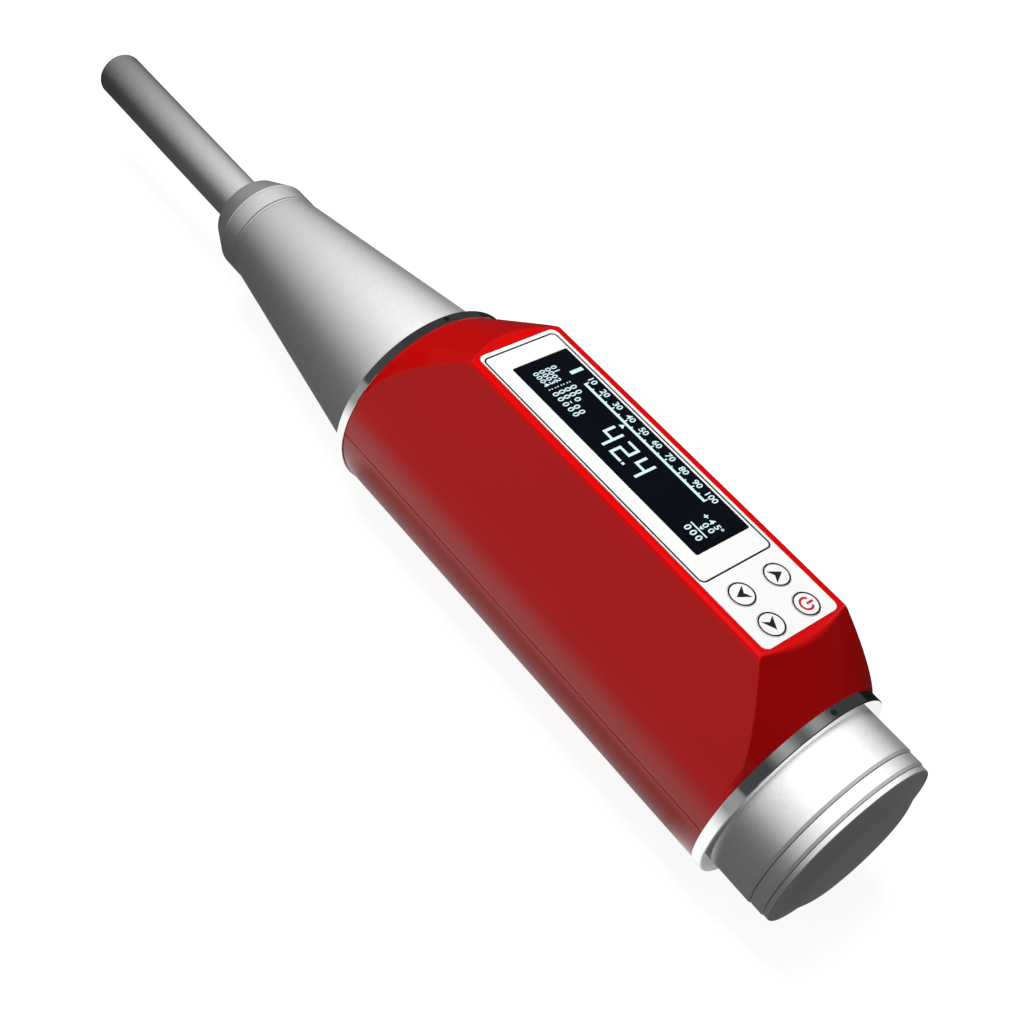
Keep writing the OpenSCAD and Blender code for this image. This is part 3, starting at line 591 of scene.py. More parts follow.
def rectangle(x0, x1, y0, y1, corner, steps=8):
    """Outline of a rectangle with round corners."""
    corners = [(x1 - corner, y1 - corner), (x0 + corner, y1 - corner),
               (x0 + corner, y0 + corner), (x1 - corner, y0 + corner)]
    outline = []
    for quarter, (x, y) in enumerate(corners):
        for t in shares(steps):
            a = (quarter + t) * QUARTER
            outline.append((x + corner * math.cos(a), y + corner * math.sin(a)))
    return outline


def circle(x, y, radius, steps=72):
    """Outline of a circle."""
    return [(x + radius * math.cos(TURN * k / steps), y + radius * math.sin(TURN * k / steps))
            for k in range(steps)]


def plate(name, outlines, low, high, edge=0.0):
    """A flat plate between two heights, from outlines in x and y, where an inner outline is a hole."""
    shape = bpy.data.curves.new(name, "CURVE")
    shape.dimensions = "2D"
    shape.fill_mode = "BOTH"
    for outline in outlines:
        line = shape.splines.new("POLY")
        line.points.add(len(outline) - 1)
        for point, (x, y) in zip(line.points, outline):
            point.co = (x * CURVE_UNIT, y * CURVE_UNIT, 0, 1)
        line.use_cyclic_u = True
    return filled(shape, low, high, edge)


def filled(shape, low, high, edge=0.0, place=None):
    """The mesh of a flat curve or text that is given a thickness."""
    shape.extrude = ((high - low) / 2 - edge) * CURVE_UNIT
    shape.bevel_depth = edge * CURVE_UNIT
    shape.bevel_resolution = 2
    shape.offset -= edge * CURVE_UNIT
    mesh = settled(placed(shape.name, shape))
    size = Matrix.Scale(1 / CURVE_UNIT, 4)
    lift = Matrix.Translation((0, 0, (low + high) / 2))
    return outwards(moved(mesh, lift @ (place or Matrix.Identity(4)) @ size))


def number(text, height, x, y, low, high, side, wide):
    """A small number that reads towards the rear, with its middle or one end at a place."""
    shape = bpy.data.curves.new("number", "FONT")
    shape.body = text
    shape.size = height * CURVE_UNIT * FONT_SIZE
    shape.space_character = wide
    shape.align_x = side
    shape.align_y = "CENTER"
    shape.resolution_u = 3
    shape.offset = FONT_WEIGHT * height * CURVE_UNIT
    place = Matrix.Translation((x, y, 0)) @ Matrix.Rotation(-QUARTER, 4, "Z")
    return filled(shape, low, high, 0.0, place)


# Finishes
def red_plastic(name, red):
    """Glossy moulded red, with a faint orange peel and slightly rubbed edges."""
    work = Finish(name)
    cloud, peel, grain = work.noise(35), work.noise(900, 2), work.noise(5200, 2)
    rub = work.rubbed(work.noise(420, 4), 0.35, 0.75)
    rubbed_red = (0.62, 0.06, 0.055)
    return work.surface({
        "Base Color": work.mix(rub * 0.12, work.tone(cloud, red, 0.93, 1), rubbed_red),
        "Metallic": 0.3,
        "Roughness": 0.27 + cloud * 0.05 + grain * 0.05 + rub * 0.08,
        "Specular IOR Level": 0.0,
        "Specular Tint": (0.35, 0.0, 0.0),
        "Coat Weight": 0.75 - rub * 0.4,
        "Coat Roughness": 0.0,
        "Normal": work.bump(peel * 0.7 + grain * 0.3, 0.05, 0.15)})


def turned_metal(name, tint, rough, lines, blast, fade):
    """Turned metal: fine rings round the axis, a blasted grain, bright edges, and painted shade that darkens
    it forwards.

    Lines and blast are shares of its relief. From one place to another its colour darkens by a share, a
    painted shade for light that falls off towards the front. From one place to another it loses a share of
    its tone, to match the photograph, where it may be light rather than finish. A share of 0 leaves it even."""
    work = Finish(name)
    start, end, painted_shade = fade
    # Painted shade: the colour darkens along the tool by a share, for light that falls off towards the front
    darker = ((work.parts(work.place)[1] - start) / (end - start)).within() * painted_shade
    rings, broad = work.noise((25, 5200, 25)), work.noise((20, 260, 20))
    sand, cloud = work.noise(7000, 2), work.noise(45, 4)
    rub = work.rubbed(cloud, 0.3, 0.8)
    mottle = (work.noise(1500) * 2.4 - 0.7).within()
    shade = work.tone(broad * 0.3 + cloud * 0.2 + mottle * 0.5, tint, 0.9, 1.1)
    light = work.mix(rub * 0.35, shade, Vector(tint) * 1.25)
    return work.surface({
        "Base Color": work.mix(darker, light, grey(0)),
        "Metallic": 1.0,
        "Roughness": rough + rings * 0.06 + sand * 0.06 - rub * 0.06,
        "Normal": work.bump(rings * lines + sand * blast, 0.12)})


def polished_ring(name, tint):
    """Mirror-polished metal, with a faint cloud in its tone and a slight unevenness."""
    work = Finish(name)
    cloud = work.noise(60, 4)
    return work.surface({
        "Base Color": work.tone(cloud, tint, 0.92, 1),
        "Metallic": 1.0,
        "Roughness": cloud * 0.003,
        "Normal": work.bump(work.noise((40, 300, 40), 2), 0.02, 0.1)})


def painted_shade_face(name, tint):
    """The end face: alloy with fine rings about the axis, whose colour is the satin alloy's darkened as
    painted shade.
    """
    work = Finish(name)
    radius = work.distance(work.stretch((1, 0, 1), (0, 0, -AXIS_Z)))
    rings = work.add("ShaderNodeTexNoise", {"W": radius * 3600, "Scale": 1.0, "Detail": 3.0},
                     {"noise_dimensions": "1D"})
    sand, cloud = work.noise(6500, 2), work.noise(60, 4)
    return work.surface({
        "Base Color": work.tone(rings * 0.5 + cloud * 0.5, tint, 0.85, 1.2),
        "Metallic": 1.0,
        "Roughness": 0.36 + sand * 0.08 + cloud * 0.06,
        "Normal": work.bump(rings * 0.6 + sand * 0.4, 0.12)})


def moulded(name, tint, rough, metal=0.0, tones=(0.85, 1.1), relief=0.1, scales=(2500, 60)):
    """A plain moulded or machined finish, with a fine grain and a slow change of tone."""
    work = Finish(name)
    grain, cloud = (work.noise(scale) for scale in scales)
    return work.surface({
        "Base Color": work.tone(cloud, tint, *tones),
        "Metallic": metal,
        "Roughness": rough + grain * 0.12,
        "Normal": work.bump(grain, relief)})


def white_film(name, tint):
    """Matt polyester film with a fine texture."""
    return moulded(name, tint, 0.42, 0.0, (0.975, 1), 0.04, (4200, 70))


def ink(name, tint):
    """Screen-printed ink, slightly uneven."""
    work = Finish(name)
    grain = work.noise(3800)
    return work.surface({
        "Base Color": work.tone(grain, tint, 0.85, 1.1),
        "Specular IOR Level": 0.05,
        "Roughness": 0.38 + grain * 0.2})


def display_glass(name, tint):
    """Dark glass that is a little lighter in patches, as an unlit panel under it is."""
    work = Finish(name)
    cloud = work.noise(120)
    return work.surface({
        "Base Color": work.tone(cloud, tint, 0.6, 1),
        "Roughness": work.noise((60, 20, 60), 4) * 0.003,
        "IOR": 1.5,
        "Emission Color": work.mix(cloud, (0.0, 0.0003, 0.001), (0.001, 0.003, 0.007)),
        "Emission Strength": 1.0})


def lit_figures(name, tint, dots=5200):
    """Lit figures, made of fine square dots, so many in two metres."""
    work = Finish(name)
    across, along, _ = work.parts(work.place)
    wave = (across * dots * math.pi).sine() * (along * dots * math.pi).sine()
    return work.surface({
        "Base Color": (0.02, 0.025, 0.03),
        "Roughness": 0.3,
        "Emission Color": work.mix(0.9 + wave * 0.1, (0.1, 0.3, 0.4), tint),
        "Emission Strength": 1.0})


# Tint, roughness and metal of the plain pieces
INNER_TINTS = {
    "inner_steel": ((0.42, 0.43, 0.45), 0.26, 1.0),
    "spring_steel": ((0.36, 0.37, 0.39), 0.3, 1.0),
    "board_green": ((0.012, 0.13, 0.05), 0.4, 0.0),
    "display_black": ((0.015, 0.016, 0.018), 0.35, 0.0),
    "battery_wrap": ((0.03, 0.09, 0.27), 0.3, 0.0),
    "switch_black": ((0.02, 0.02, 0.021), 0.5, 0.0),
    "rider_black": ((0.025, 0.025, 0.026), 0.45, 0.0),
    "ribbon_amber": ((0.5, 0.2, 0.03), 0.35, 0.0),
    "friction_rubber": ((0.03, 0.03, 0.032), 0.7, 0.0),
    "felt": ((0.6, 0.54, 0.42), 0.9, 0.0),
    "black_steel": ((0.025, 0.025, 0.027), 0.35, 0.8),
    "button_black": ((0.018, 0.018, 0.019), 0.42, 0.0),
}


def finish(slot):
    """The material of a record slot, made when it is first asked for."""
    made = bpy.data.materials.get(slot + "_look")
    if made:
        return made
    scene = bpy.context.scene
    metal, panel, display = scene.hammer_metal, scene.hammer_panel, scene.hammer_display
    looks = {
        "red_plastic": (red_plastic, scene.hammer_housing.red),
        # The alloy and the plunger steel are darkened forwards as painted shade
        "satin_alloy": (turned_metal, metal.alloy, 0.34, 0.4, 0.6, (0, NOSE_Y[1], metal.alloy_painted_shade)),
        "plunger_steel": (turned_metal, metal.steel, 0.32, 0.7, 0.3,
                          (NOSE_Y[1], PLUNGER_Y[1], metal.steel_painted_shade)),
        "bright_ring": (polished_ring, metal.bright),
        # The end face is the alloy darkened as painted shade
        "dark_end": (painted_shade_face, metal.dark),
        "panel_white": (white_film, panel.film),
        "key_white": (white_film, panel.film),
        "display_glass": (display_glass, display.glass),
        "figures": (lit_figures, display.light),
        "print_black": (ink, panel.black),
        "print_crimson": (ink, panel.crimson),
    }
    maker, *values = looks[slot] if slot in looks else (moulded, *INNER_TINTS[slot])
    return maker(slot, *values)


# Housing
SLOPE_ROWS, EDGE_ROWS, FLAT_ROWS = 6, 9, 26
SIDE_COLUMNS, SHOULDER_COLUMNS, EDGE_COLUMNS, TOP_COLUMNS, BELLY_COLUMNS = 8, 20, 8, 12, 110

# Round of a shell's lip, in shares of its size: along the wall, how far it drops, how much of an edge
LIP_ROUND = ((0, 1.0, 0.6), (0.08, 0.6, 1.0), (0.3, 0.29, 1.0))


def eased(low, high, t):
    """A soft change from one value to another while t goes from 0 to 1."""
    t = min(max(t, 0), 1)
    return low + (high - low) * t * t * (3 - 2 * t)


def heading(a):
    """The direction at an angle about the axis."""
    return Vector((math.cos(a), math.sin(a)))


def bearing(point):
    """The angle of a point about the axis."""
    return math.atan2(point.y, point.x)


class HousingShape:
    """The outline of the housing at any angle about the axis."""

    def __init__(self, sizes):
        self.sizes = sizes
        self.top = SHELL_TOP - AXIS_Z
        self.foot = SHELL_R + sizes.slope_foot
        edge = sizes.edge_radius
        self.corner = Vector((sizes.top_width / 2 - edge, self.top - edge))
        self.side = bearing(self.corner) - math.acos((SHELL_R - edge) / self.corner.length)
        self.shoulder = bearing(self.corner + edge * heading(self.side))
        self.brow = math.atan2(self.top, self.corner.x)

    def reach(self, a):
        """Distance from the axis to the section's outline."""
        if math.cos(a) < 0:
            a = math.pi - a
        a = math.atan2(math.sin(a), math.cos(a))
        if a <= self.side:
            return SHELL_R
        if a <= self.shoulder:
            return SHELL_R / math.cos(a - self.side)
        if a >= self.brow:
            return self.top / math.sin(a)
        along = self.corner.dot(heading(a))
        return along + math.sqrt(along ** 2 - self.corner.length_squared + self.sizes.edge_radius ** 2)

    def edge_at(self, a):
        """Radius of the edge between a slope and the section: large along the top, small down the sides."""
        sizes = self.sizes
        if math.cos(a) < 0:
            a = math.pi - a
        if a > self.brow:
            inwards = 1 - self.top / math.tan(a) / self.corner.x
            return eased(sizes.edge_radius, sizes.brow_radius, inwards)
        early = 0.1
        up = (a - self.shoulder + early) / (self.brow - self.shoulder + early)
        return eased(sizes.crease_radius, sizes.edge_radius, up)

    def slope_rows(self, a, slope):
        """Rows (distance from the end, radius, edge) from a shell's end up its slope and over the edge."""
        reach = self.reach(a)
        lip = self.sizes.lip
        rise = reach - self.foot
        start = min(reach, self.foot)
        half = math.tan(slope / 2)
        edge = min(self.edge_at(a), 0.8 * max(rise, 0) / math.sin(slope) / half)
        run = max(rise / math.tan(slope), 6 * lip)
        near = max(edge * half * math.cos(slope), lip / 4)
        far = max(edge * half, lip / 4)
        rows = [(along * lip, start - drop * lip, worn) for along, drop, worn in LIP_ROUND]

        def height(d):
            if rise <= 0:
                return reach
            if d <= run - near or edge < MICRON:
                return min(self.foot + d * math.tan(slope), reach)
            if d >= run + far:
                return reach
            return reach - edge + math.sqrt(max(edge ** 2 - (run + far - d) ** 2, 0))

        for t in shares(SLOPE_ROWS):
            d = lip + (run - near - lip) * t
            rows.append((d, height(d), 0.0))
        for t in shares(EDGE_ROWS, 1):
            d = run - near + (near + far) * t
            rows.append((d, height(d), math.sin(math.pi * t) if rise > 0 else 0.0))
        return rows

    def column(self, a, drop):
        """Points (station, radius, edge) along the housing at one angle."""
        rear = self.slope_rows(a, self.sizes.rear_slope)
        front = self.slope_rows(a, self.sizes.front_slope)
        first = SHELL_Y[0] + rear[-1][0]
        last = SHELL_Y[1] - front[-1][0]
        points = [(SHELL_Y[0] + d, r, e) for d, r, e in rear]
        points += [(first + (last - first) * t, self.reach(a), 0.0) for t in shares(FLAT_ROWS, 1)[:-1]]
        points += [(SHELL_Y[1] - d, r, e) for d, r, e in reversed(front)]
        worn = 1.0 if drop > 0 else 0.0
        return [(y, r - drop, max(e, worn)) for y, r, e in points]

    def parting(self, way):
        """Angle of a shell's right edge: above the parting line with way 1, below it with -1."""
        return math.asin((PARTING_Z - AXIS_Z + way * self.sizes.parting_gap / 2) / SHELL_R)

    def lip_angles(self, start, way):
        """Angles and drops that round the edge of a shell, from the edge onwards."""
        step = way * self.sizes.lip / SHELL_R
        lips = [(start + along * step, drop * self.sizes.lip) for along, drop, _ in LIP_ROUND]
        return lips + [(start + step, 0)]

    def upper_angles(self):
        """Angles and lip drops of the upper shell's columns, from its right edge over to its left."""
        right = self.lip_angles(self.parting(1), 1)
        begin = right[-1][0]
        angles = [begin + (self.side - begin) * t for t in shares(SIDE_COLUMNS, 1)]
        foot = SHELL_R * heading(self.side)
        shoulder = self.reach(self.shoulder) * heading(self.shoulder)
        angles += [bearing(foot.lerp(shoulder, t)) for t in shares(SHOULDER_COLUMNS, 1)]
        for t in shares(EDGE_COLUMNS, 1):
            turn = self.side + (QUARTER - self.side) * t
            angles.append(bearing(self.corner + self.sizes.edge_radius * heading(turn)))
        angles += [math.atan2(self.top, self.corner.x * (1 - t)) for t in shares(TOP_COLUMNS, 1)]
        right += [(a, 0) for a in angles]
        return right + [(math.pi - a, drop) for a, drop in reversed(right[:-1])]

    def lower_angles(self):
        """Angles and lip drops of the lower shell's columns, from its left edge under to its right."""
        end = self.parting(-1)
        first = self.lip_angles(math.pi - end, 1)
        last = self.lip_angles(TURN + end, -1)
        begin, stop = first[-1][0], last[-1][0]
        middle = [(begin + (stop - begin) * t, 0) for t in shares(BELLY_COLUMNS, 1)[:-1]]
        return first + middle + last[::-1]

    def sheet(self, name, columns):
        """The outer face of a shell."""
        points, edges, faces = [], [], []
        for a, drop in columns:
            column = self.column(a, drop)
            rows = len(column)
            for y, r, edge in column:
                points.append((r * math.cos(a), y, AXIS_Z + r * math.sin(a)))
                edges.append(edge)
        for i in range(len(columns) - 1):
            for j in range(rows - 1):
                here = i * rows + j
                faces.append((here, here + 1, here + rows + 1, here + rows))
        return as_mesh(name, points, faces, edges)


def walled(mesh, wall):
    """Gives a sheet its wall, inwards."""
    holder = placed("walled", mesh)
    solid = holder.modifiers.new("wall", "SOLIDIFY")
    solid.thickness = wall
    solid.offset = -1
    return settled(holder)


def on_lock_axis(mesh):
    """Turns an upright piece at the origin onto the lock button's axis."""
    return moved(mesh, Matrix.Translation((0, LOCK_Y, AXIS_Z)) @ LOCK_TURN.to_matrix().to_4x4())


def shell_screw_places():
    """The four places of the screws that join the shells."""
    low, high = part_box("shell_screws")
    return [(x, y) for x in (low.x + SCREW_HEAD_R, high.x - SCREW_HEAD_R)
            for y in (low.y + SCREW_HEAD_R, high.y - SCREW_HEAD_R)]


def curved_boss(x, y, radius, top, steps=40):
    """A screw boss whose foot follows the shell's round wall."""
    inside = SHELL_R - 0.6 * MM
    points, faces = [], []
    for px, py in [*circle(x, y, radius, steps), (x, y)]:
        points += [(px, py, AXIS_Z - math.sqrt(inside ** 2 - px ** 2)), (px, py, top)]
    for k in range(steps):
        n = (k + 1) % steps
        faces += [(2 * k, 2 * n, 2 * n + 1, 2 * k + 1),
                  (2 * steps, 2 * n, 2 * k), (2 * steps + 1, 2 * k + 1, 2 * n + 1)]
    return outwards(as_mesh("boss", points, faces))


def window_frame(margin):
    """The display's clear opening, widened by a margin: x0, x1, y0, y1."""
    low, high = WINDOW
    inset = WINDOW_FLANGE - margin
    return low.x + inset, high.x - inset, low.y + inset, high.y - inset


def key_place(key):
    """Middle of a key in x and y."""
    low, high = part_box(key)
    return (low.x + high.x) / 2, (low.y + high.y) / 2


class HAMMER_OT_housing(bpy.types.Operator):
    """Builds the two moulded shells"""
    bl_idname = "hammer.housing"
    bl_label = "Housing shells"

    def execute(self, context):
        sizes = context.scene.hammer_housing
        shape = HousingShape(sizes)
        loose, key_loose, clear = 0.15 * MM, 0.25 * MM, 1 * MM
        low, high = OVERLAY
        below, above = SHELL_TOP - 3 * clear, SHELL_TOP + 2 * clear
        film = rectangle(low.x - loose, high.x + loose, low.y - loose, high.y + loose,
                         context.scene.hammer_panel.corner + loose)
        tools = [plate("pocket", [film], low.z, SHELL_TOP + clear),
                 plate("opening", [rectangle(*window_frame(loose), WINDOW_CORNER + loose)], below, above)]
        tools += [post(below, above, KEY_R + key_loose, *key_place(key)) for key in KEYS]
        upper = walled(shape.sheet("upper", shape.upper_angles()), sizes.wall)
        piece("shell_upper", carved(upper, tools), "body", "red_plastic", ["housing_upper_shell"])

        top = PARTING_Z - sizes.parting_gap
        bosses = [curved_boss(x, y, sizes.boss_radius, top) for x, y in shell_screw_places()]
        tools = [self.screw_hole(sizes, x, y) for x, y in shell_screw_places()]
        tools.append(on_lock_axis(post(SHELL_R - 4 * clear, SHELL_R + clear, LOCK_CAP_R + loose)))
        lower = walled(shape.sheet("lower", shape.lower_angles()), sizes.wall)
        lower = carved(carved(lower, bosses, "UNION"), tools)
        piece("shell_lower", lower, "body", "red_plastic", ["housing_lower_shell"])
        return {"FINISHED"}

    def screw_hole(self, sizes, x, y):
        """The hole of a joining screw, whose head lies behind a flush plug with a fine seam round it."""
        seat = AXIS_Z - sizes.head_depth
        hidden = seat - sizes.head_room
        shank, clear = 1.05 * MM, 1 * MM
        outer, inner = sizes.head_hole, sizes.head_hole - sizes.plug_seam
        top = AXIS_Z + clear
        profile = [(0, hidden, 0), (inner, hidden, 0), (inner, -clear, 0), (outer, -clear, 0),
                   (outer, seat, 0), (shank, seat, 0), (shank, top, 0), (0, top, 0)]
        return upright(turned("hole", profile, 48), x, y)


def joint_edge(sizes, radius, y):
    """Corners of a part's rear end at a joint: a narrow slot and a chamfer."""
    foot = radius - sizes.chamfer_depth
    slot_y = y + sizes.slot_width
    return [(foot - sizes.slot_depth, y, 0), (foot - sizes.slot_depth, slot_y, 0),
            (foot, slot_y, sizes.edge / 5), (radius, slot_y + sizes.chamfer, sizes.edge)]


class HAMMER_OT_turned(bpy.types.Operator):
    """Builds the rings, caps, cone, nose and plunger"""
    bl_idname = "hammer.turned"
    bl_label = "Turned metal parts"

    def execute(self, context):
        sizes = context.scene.hammer_metal
        edge, fine = sizes.edge, sizes.edge / 3
        seat = BARREL_R + SLIP

        def satin(name, node, corners, steps=224):
            piece(name, turned(name, rounded(corners), steps), "body", "satin_alloy", [node])

        # The rings, each with a hole for its set screw
        hole_z = AXIS_Z + 28 * MM, AXIS_Z + RING_R + 1 * MM
        rings = (("ring_rear", "rear_ring", sizes.ring_edge), ("ring_front", "front_ring", fine))
        for name, node, bevel in rings:
            back, fore = span(node)
            ring = turned(name, rounded([
                (seat, back, 0), (RING_R - bevel, back, 0), (RING_R, back + bevel, 0),
                (RING_R, fore, fine), (seat, fore, 0)]), 256)
            hole = post(*hole_z, SET_SCREW_R + SLIP, 0, (back + fore) / 2, 32)
            piece(name, carved(ring, [hole]), "body", "bright_ring", [node])

        # The rear cap, its band and the end
        cap_r, band_r = half_width("rear_cap"), half_width("cap_band")
        floor_y = span("return_spring")[0] - 0.13 * MM
        band_bore = 20 * MM
        satin("cap_rear", "rear_cap", [
            (0, CAP_Y[0], 0), *joint_edge(sizes, cap_r, CAP_Y[0]),
            (cap_r, CAP_Y[1], 0), (seat, CAP_Y[1], 0), (seat, BARREL_Y[0], 0),
            (BORE_R, BARREL_Y[0], 0), (BORE_R, floor_y, 0), (0, floor_y, 0)])
        satin("cap_lock_band", "cap_band", [
            (band_bore, BAND_Y[0], 0), *joint_edge(sizes, band_r, BAND_Y[0]),
            (band_r, BAND_Y[1], fine), (band_bore, BAND_Y[1], 0)])
        self.end_cap(sizes, band_bore - SLIP)

        # The cone, whose front ends in a narrow straight land, and the nose
        throat, sleeve = 15.9 * MM, 11.45 * MM
        land_r, land_y = sizes.cone_front + sizes.land_height, CONE_Y[1] - sizes.land
        sleeve_y = SLEEVE_Y[0] + 3 * MM
        satin("cone", "front_cone", [
            (seat, CONE_Y[0], 0), (half_width("front_cone"), CONE_Y[0], edge),
            (sizes.cone_front, land_y - sizes.land_height, 0), (land_r, land_y, 0), (land_r, CONE_Y[1], 0),
            (sleeve, CONE_Y[1], 0), (sleeve, sleeve_y, 0), (throat, sleeve_y, 0),
            (throat, SLEEVE_Y[0], 0), (BORE_R, BARREL_Y[1], 0), (seat, BARREL_Y[1], 0)])
        nose_edge = NOSE_Y[0] + sizes.nose_band
        felt, felt_y = half_width("felt_washer") + SLIP, nose_edge - 1 * MM
        hole = sizes.shank + SLIP
        satin("nose", "nose_cap", [
            (felt, NOSE_Y[0], 0), *self.nose_band(sizes, half_width("nose_cap"), nose_edge),
            (sizes.nose_front, NOSE_Y[1], 3 * edge), (hole, NOSE_Y[1], edge), (hole, felt_y, 0),
            (felt, felt_y, 0)], 192)
        self.plunger(sizes)
        self.felt_seal(sizes)
        return {"FINISHED"}

    def nose_band(self, sizes, radius, edge_y):
        """Corners of the nose's band: a sloping wall at its rear and a fine groove near its front edge."""
        wide, soft = sizes.groove, sizes.edge / 2
        groove_y = edge_y - 0.5 * wide
        return [(radius - sizes.joint_depth, NOSE_Y[0], 0), (radius, NOSE_Y[0] + sizes.joint_depth, 0),
                (radius, groove_y - wide, soft), (radius - sizes.groove_depth, groove_y - 0.5 * wide, soft),
                (radius, groove_y, soft), (radius, edge_y, sizes.edge)]

    def end_cap(self, sizes, spigot):
        """The end cap: a satin rim and a face of alloy darkened as painted shade, with a hollow round a low
        crown.
        """
        r = half_width("end_cap")
        rim = 0.5 * MM
        lip_y = BAND_Y[0]
        rim_y = lip_y - 1.5 * MM
        boss_y = END_Y[0] + sizes.crown
        profile = [(0, END_Y[1], 0), (spigot, END_Y[1], 0), (spigot, lip_y, 0), (r, lip_y, 0)]
        for t in shares(8):
            a = QUARTER * t
            profile.append((r - rim + rim * math.cos(a), rim_y + rim - rim * math.sin(a), math.sin(2 * a)))
        for t in shares(14, 1):
            swell = 0.75 - math.cos(math.pi * t) / 4 - math.cos(math.pi * t / 2) / 2
            profile.append((r - rim - (r - rim - sizes.boss) * t, rim_y + (boss_y - rim_y) * swell, 0))
        sphere = (sizes.boss ** 2 + sizes.crown ** 2) / (2 * sizes.crown)
        wide = math.asin(sizes.boss / sphere)
        for t in shares(12, 1):
            a = wide * (1 - t)
            profile.append((sphere * math.sin(a), END_Y[0] + sphere - sphere * math.cos(a), 0))
        mesh = turned("end_crown", profile, 224)
        item = piece("end_crown", mesh, "body", "dark_end", ["end_cap"],
                     [finish("satin_alloy"), finish("dark_end")])
        # The face inside the rim takes the alloy darkened as painted shade
        for face in item.data.polygons:
            face.material_index = 1 if face.center.y < rim_y + 0.25 * rim else 0

    def plunger(self, sizes):
        """The plunger with its shoulder, neck, bore and round striking end."""
        r = sizes.shank
        neck_r = r - 0.2 * MM
        shoulder_r = half_width("plunger")
        shoulder_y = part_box("split_ring")[0].y - 0.3 * MM
        neck_y = NOSE_Y[1] + 0.6 * MM
        bore_r = half_width("guide_bar") + SLIP
        bore_y = PLUNGER_Y[0] + 30 * MM
        tip = PLUNGER_Y[1]
        sphere, edge = sizes.tip_sphere, sizes.tip_edge
        lean = math.asin((r - edge) / (sphere - edge))
        edge_y = tip - sphere + (sphere - edge) * math.cos(lean)
        profile = rounded([(bore_r, PLUNGER_Y[0], 0), (shoulder_r, PLUNGER_Y[0], sizes.edge),
                           (shoulder_r, shoulder_y, sizes.edge), (neck_r, shoulder_y, 0)])
        bevel = 0.05 * MM
        profile += [(neck_r, neck_y, 0), (r - bevel, neck_y + 0.4 * bevel, 1), (r, neck_y + 2.4 * bevel, 0)]
        for t in shares(8):
            a = (QUARTER - lean) * t
            worn = math.sin(math.pi * t)
            profile.append((r - edge + edge * math.cos(a), edge_y + edge * math.sin(a), worn))
        for t in shares(10, 1):
            a = lean * (1 - t)
            profile.append((sphere * math.sin(a), tip - sphere + sphere * math.cos(a), 0))
        profile += [(0, bore_y, 0), (bore_r, bore_y, 0)]
        mesh = turned("plunger_bar", profile, 144)
        piece("plunger_bar", mesh, "plunger_group", "plunger_steel", ["plunger"])

    def felt_seal(self, sizes):
        """The felt ring behind the nose, with a slightly uneven face."""
        back, fore = span("felt_washer")
        outer = half_width("felt_washer")
        inner = sizes.shank + 0.3 * MM
        soft, fuzz, waves = 0.7 * MM, 0.05 * MM, 1900
        mesh = turned("felt_seal", rounded([
            (inner, back, soft), (outer, back, soft), (outer, fore, soft), (inner, fore, soft)]), 96)
        for vertex in mesh.vertices:
            x, y, z = vertex.co * waves
            vertex.co.y += fuzz * math.sin(x + 1.7 * z) * math.sin(1.3 * z - 0.8 * x + y)
        piece("felt_seal", mesh, "body", "felt", ["felt_washer"])


def screw_tree():
    """A Geometry Nodes tree that puts a screw with a keyed socket at each point."""
    lengths = ("Head radius", "Head height", "Shank radius", "Shank length", "Socket radius", "Socket depth")
    grow = Growth("socket screws", {
        **dict.fromkeys(lengths, "m"), "Socket sides": "count", "Tilt": "vector", "Material": "material"})

    def rod(radius, depth, middle, sides):
        bar = grow.add("GeometryNodeMeshCylinder", {"Vertices": sides, "Radius": radius, "Depth": depth})
        lift = grow.add("ShaderNodeCombineXYZ", {"Z": middle})
        return grow.add("GeometryNodeTransform", {"Geometry": bar, "Translation": lift})

    head_height, shank_length = grow.given("Head height"), grow.given("Shank length")
    socket_depth = grow.given("Socket depth")
    head = rod(grow.given("Head radius"), head_height, head_height * -0.5, 40)
    shank = rod(grow.given("Shank radius"), shank_length, head_height * -1 - shank_length * 0.5, 24)
    body = grow.add("GeometryNodeMeshBoolean", None, {"operation": "UNION", "solver": "EXACT"})
    for part in (head, shank):
        grow.tree.links.new(part.socket, body.socket.node.inputs["Mesh 2"])
    key = rod(grow.given("Socket radius"), socket_depth * 2, 0.0, grow.given("Socket sides"))
    cut = grow.add("GeometryNodeMeshBoolean", {"Mesh 1": body, "Mesh 2": key},
                   {"operation": "DIFFERENCE", "solver": "EXACT"})
    return grow.close(grow.add("GeometryNodeInstanceOnPoints", {
        "Points": grow.given("Geometry"), "Instance": cut, "Rotation": grow.given("Tilt")}))


class HAMMER_OT_screws(bpy.types.Operator):
    """Builds the set screws of the rings and the screws that join the shells"""
    bl_idname = "hammer.screws"
    bl_label = "Screws"

    def execute(self, context):
        tree = screw_tree()
        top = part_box("ring_set_screws")[1].z
        places = [(0, sum(ends) / 2, top) for ends in (REAR_RING_Y, FRONT_RING_Y)]
        sizes = (SET_SCREW_R, 3 * MM, SET_SCREW_R - SLIP, 0.45 * MM, 2 * MM)
        self.screws(tree, "set_screws", "ring_set_screws", places, sizes, 0)
        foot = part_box("shell_screws")[0].z
        places = [(x, y, foot) for x, y in shell_screw_places()]
        sizes = (SCREW_HEAD_R, 1.3 * MM, 1 * MM, 1 * MM, 0.8 * MM)
        self.screws(tree, "joining_screws", "shell_screws", places, sizes, math.pi)
        return {"FINISHED"}

    def screws(self, tree, name, node, places, sizes, tilt):
        """Screws of one kind, from sizes of the head, the shank and the socket."""
        low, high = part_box(node)
        head_r, head, shank_r, socket_r, socket = sizes
        mesh = tree.mesh(name, {
            "Head radius": head_r, "Head height": head, "Shank radius": shank_r,
            "Shank length": high.z - low.z - head, "Socket radius": socket_r, "Socket depth": socket,
            "Socket sides": 6, "Tilt": (tilt, 0, 0), "Material": finish("black_steel")}, places)
        piece(name, mesh, "body", "black_steel", [node], crisp=30)


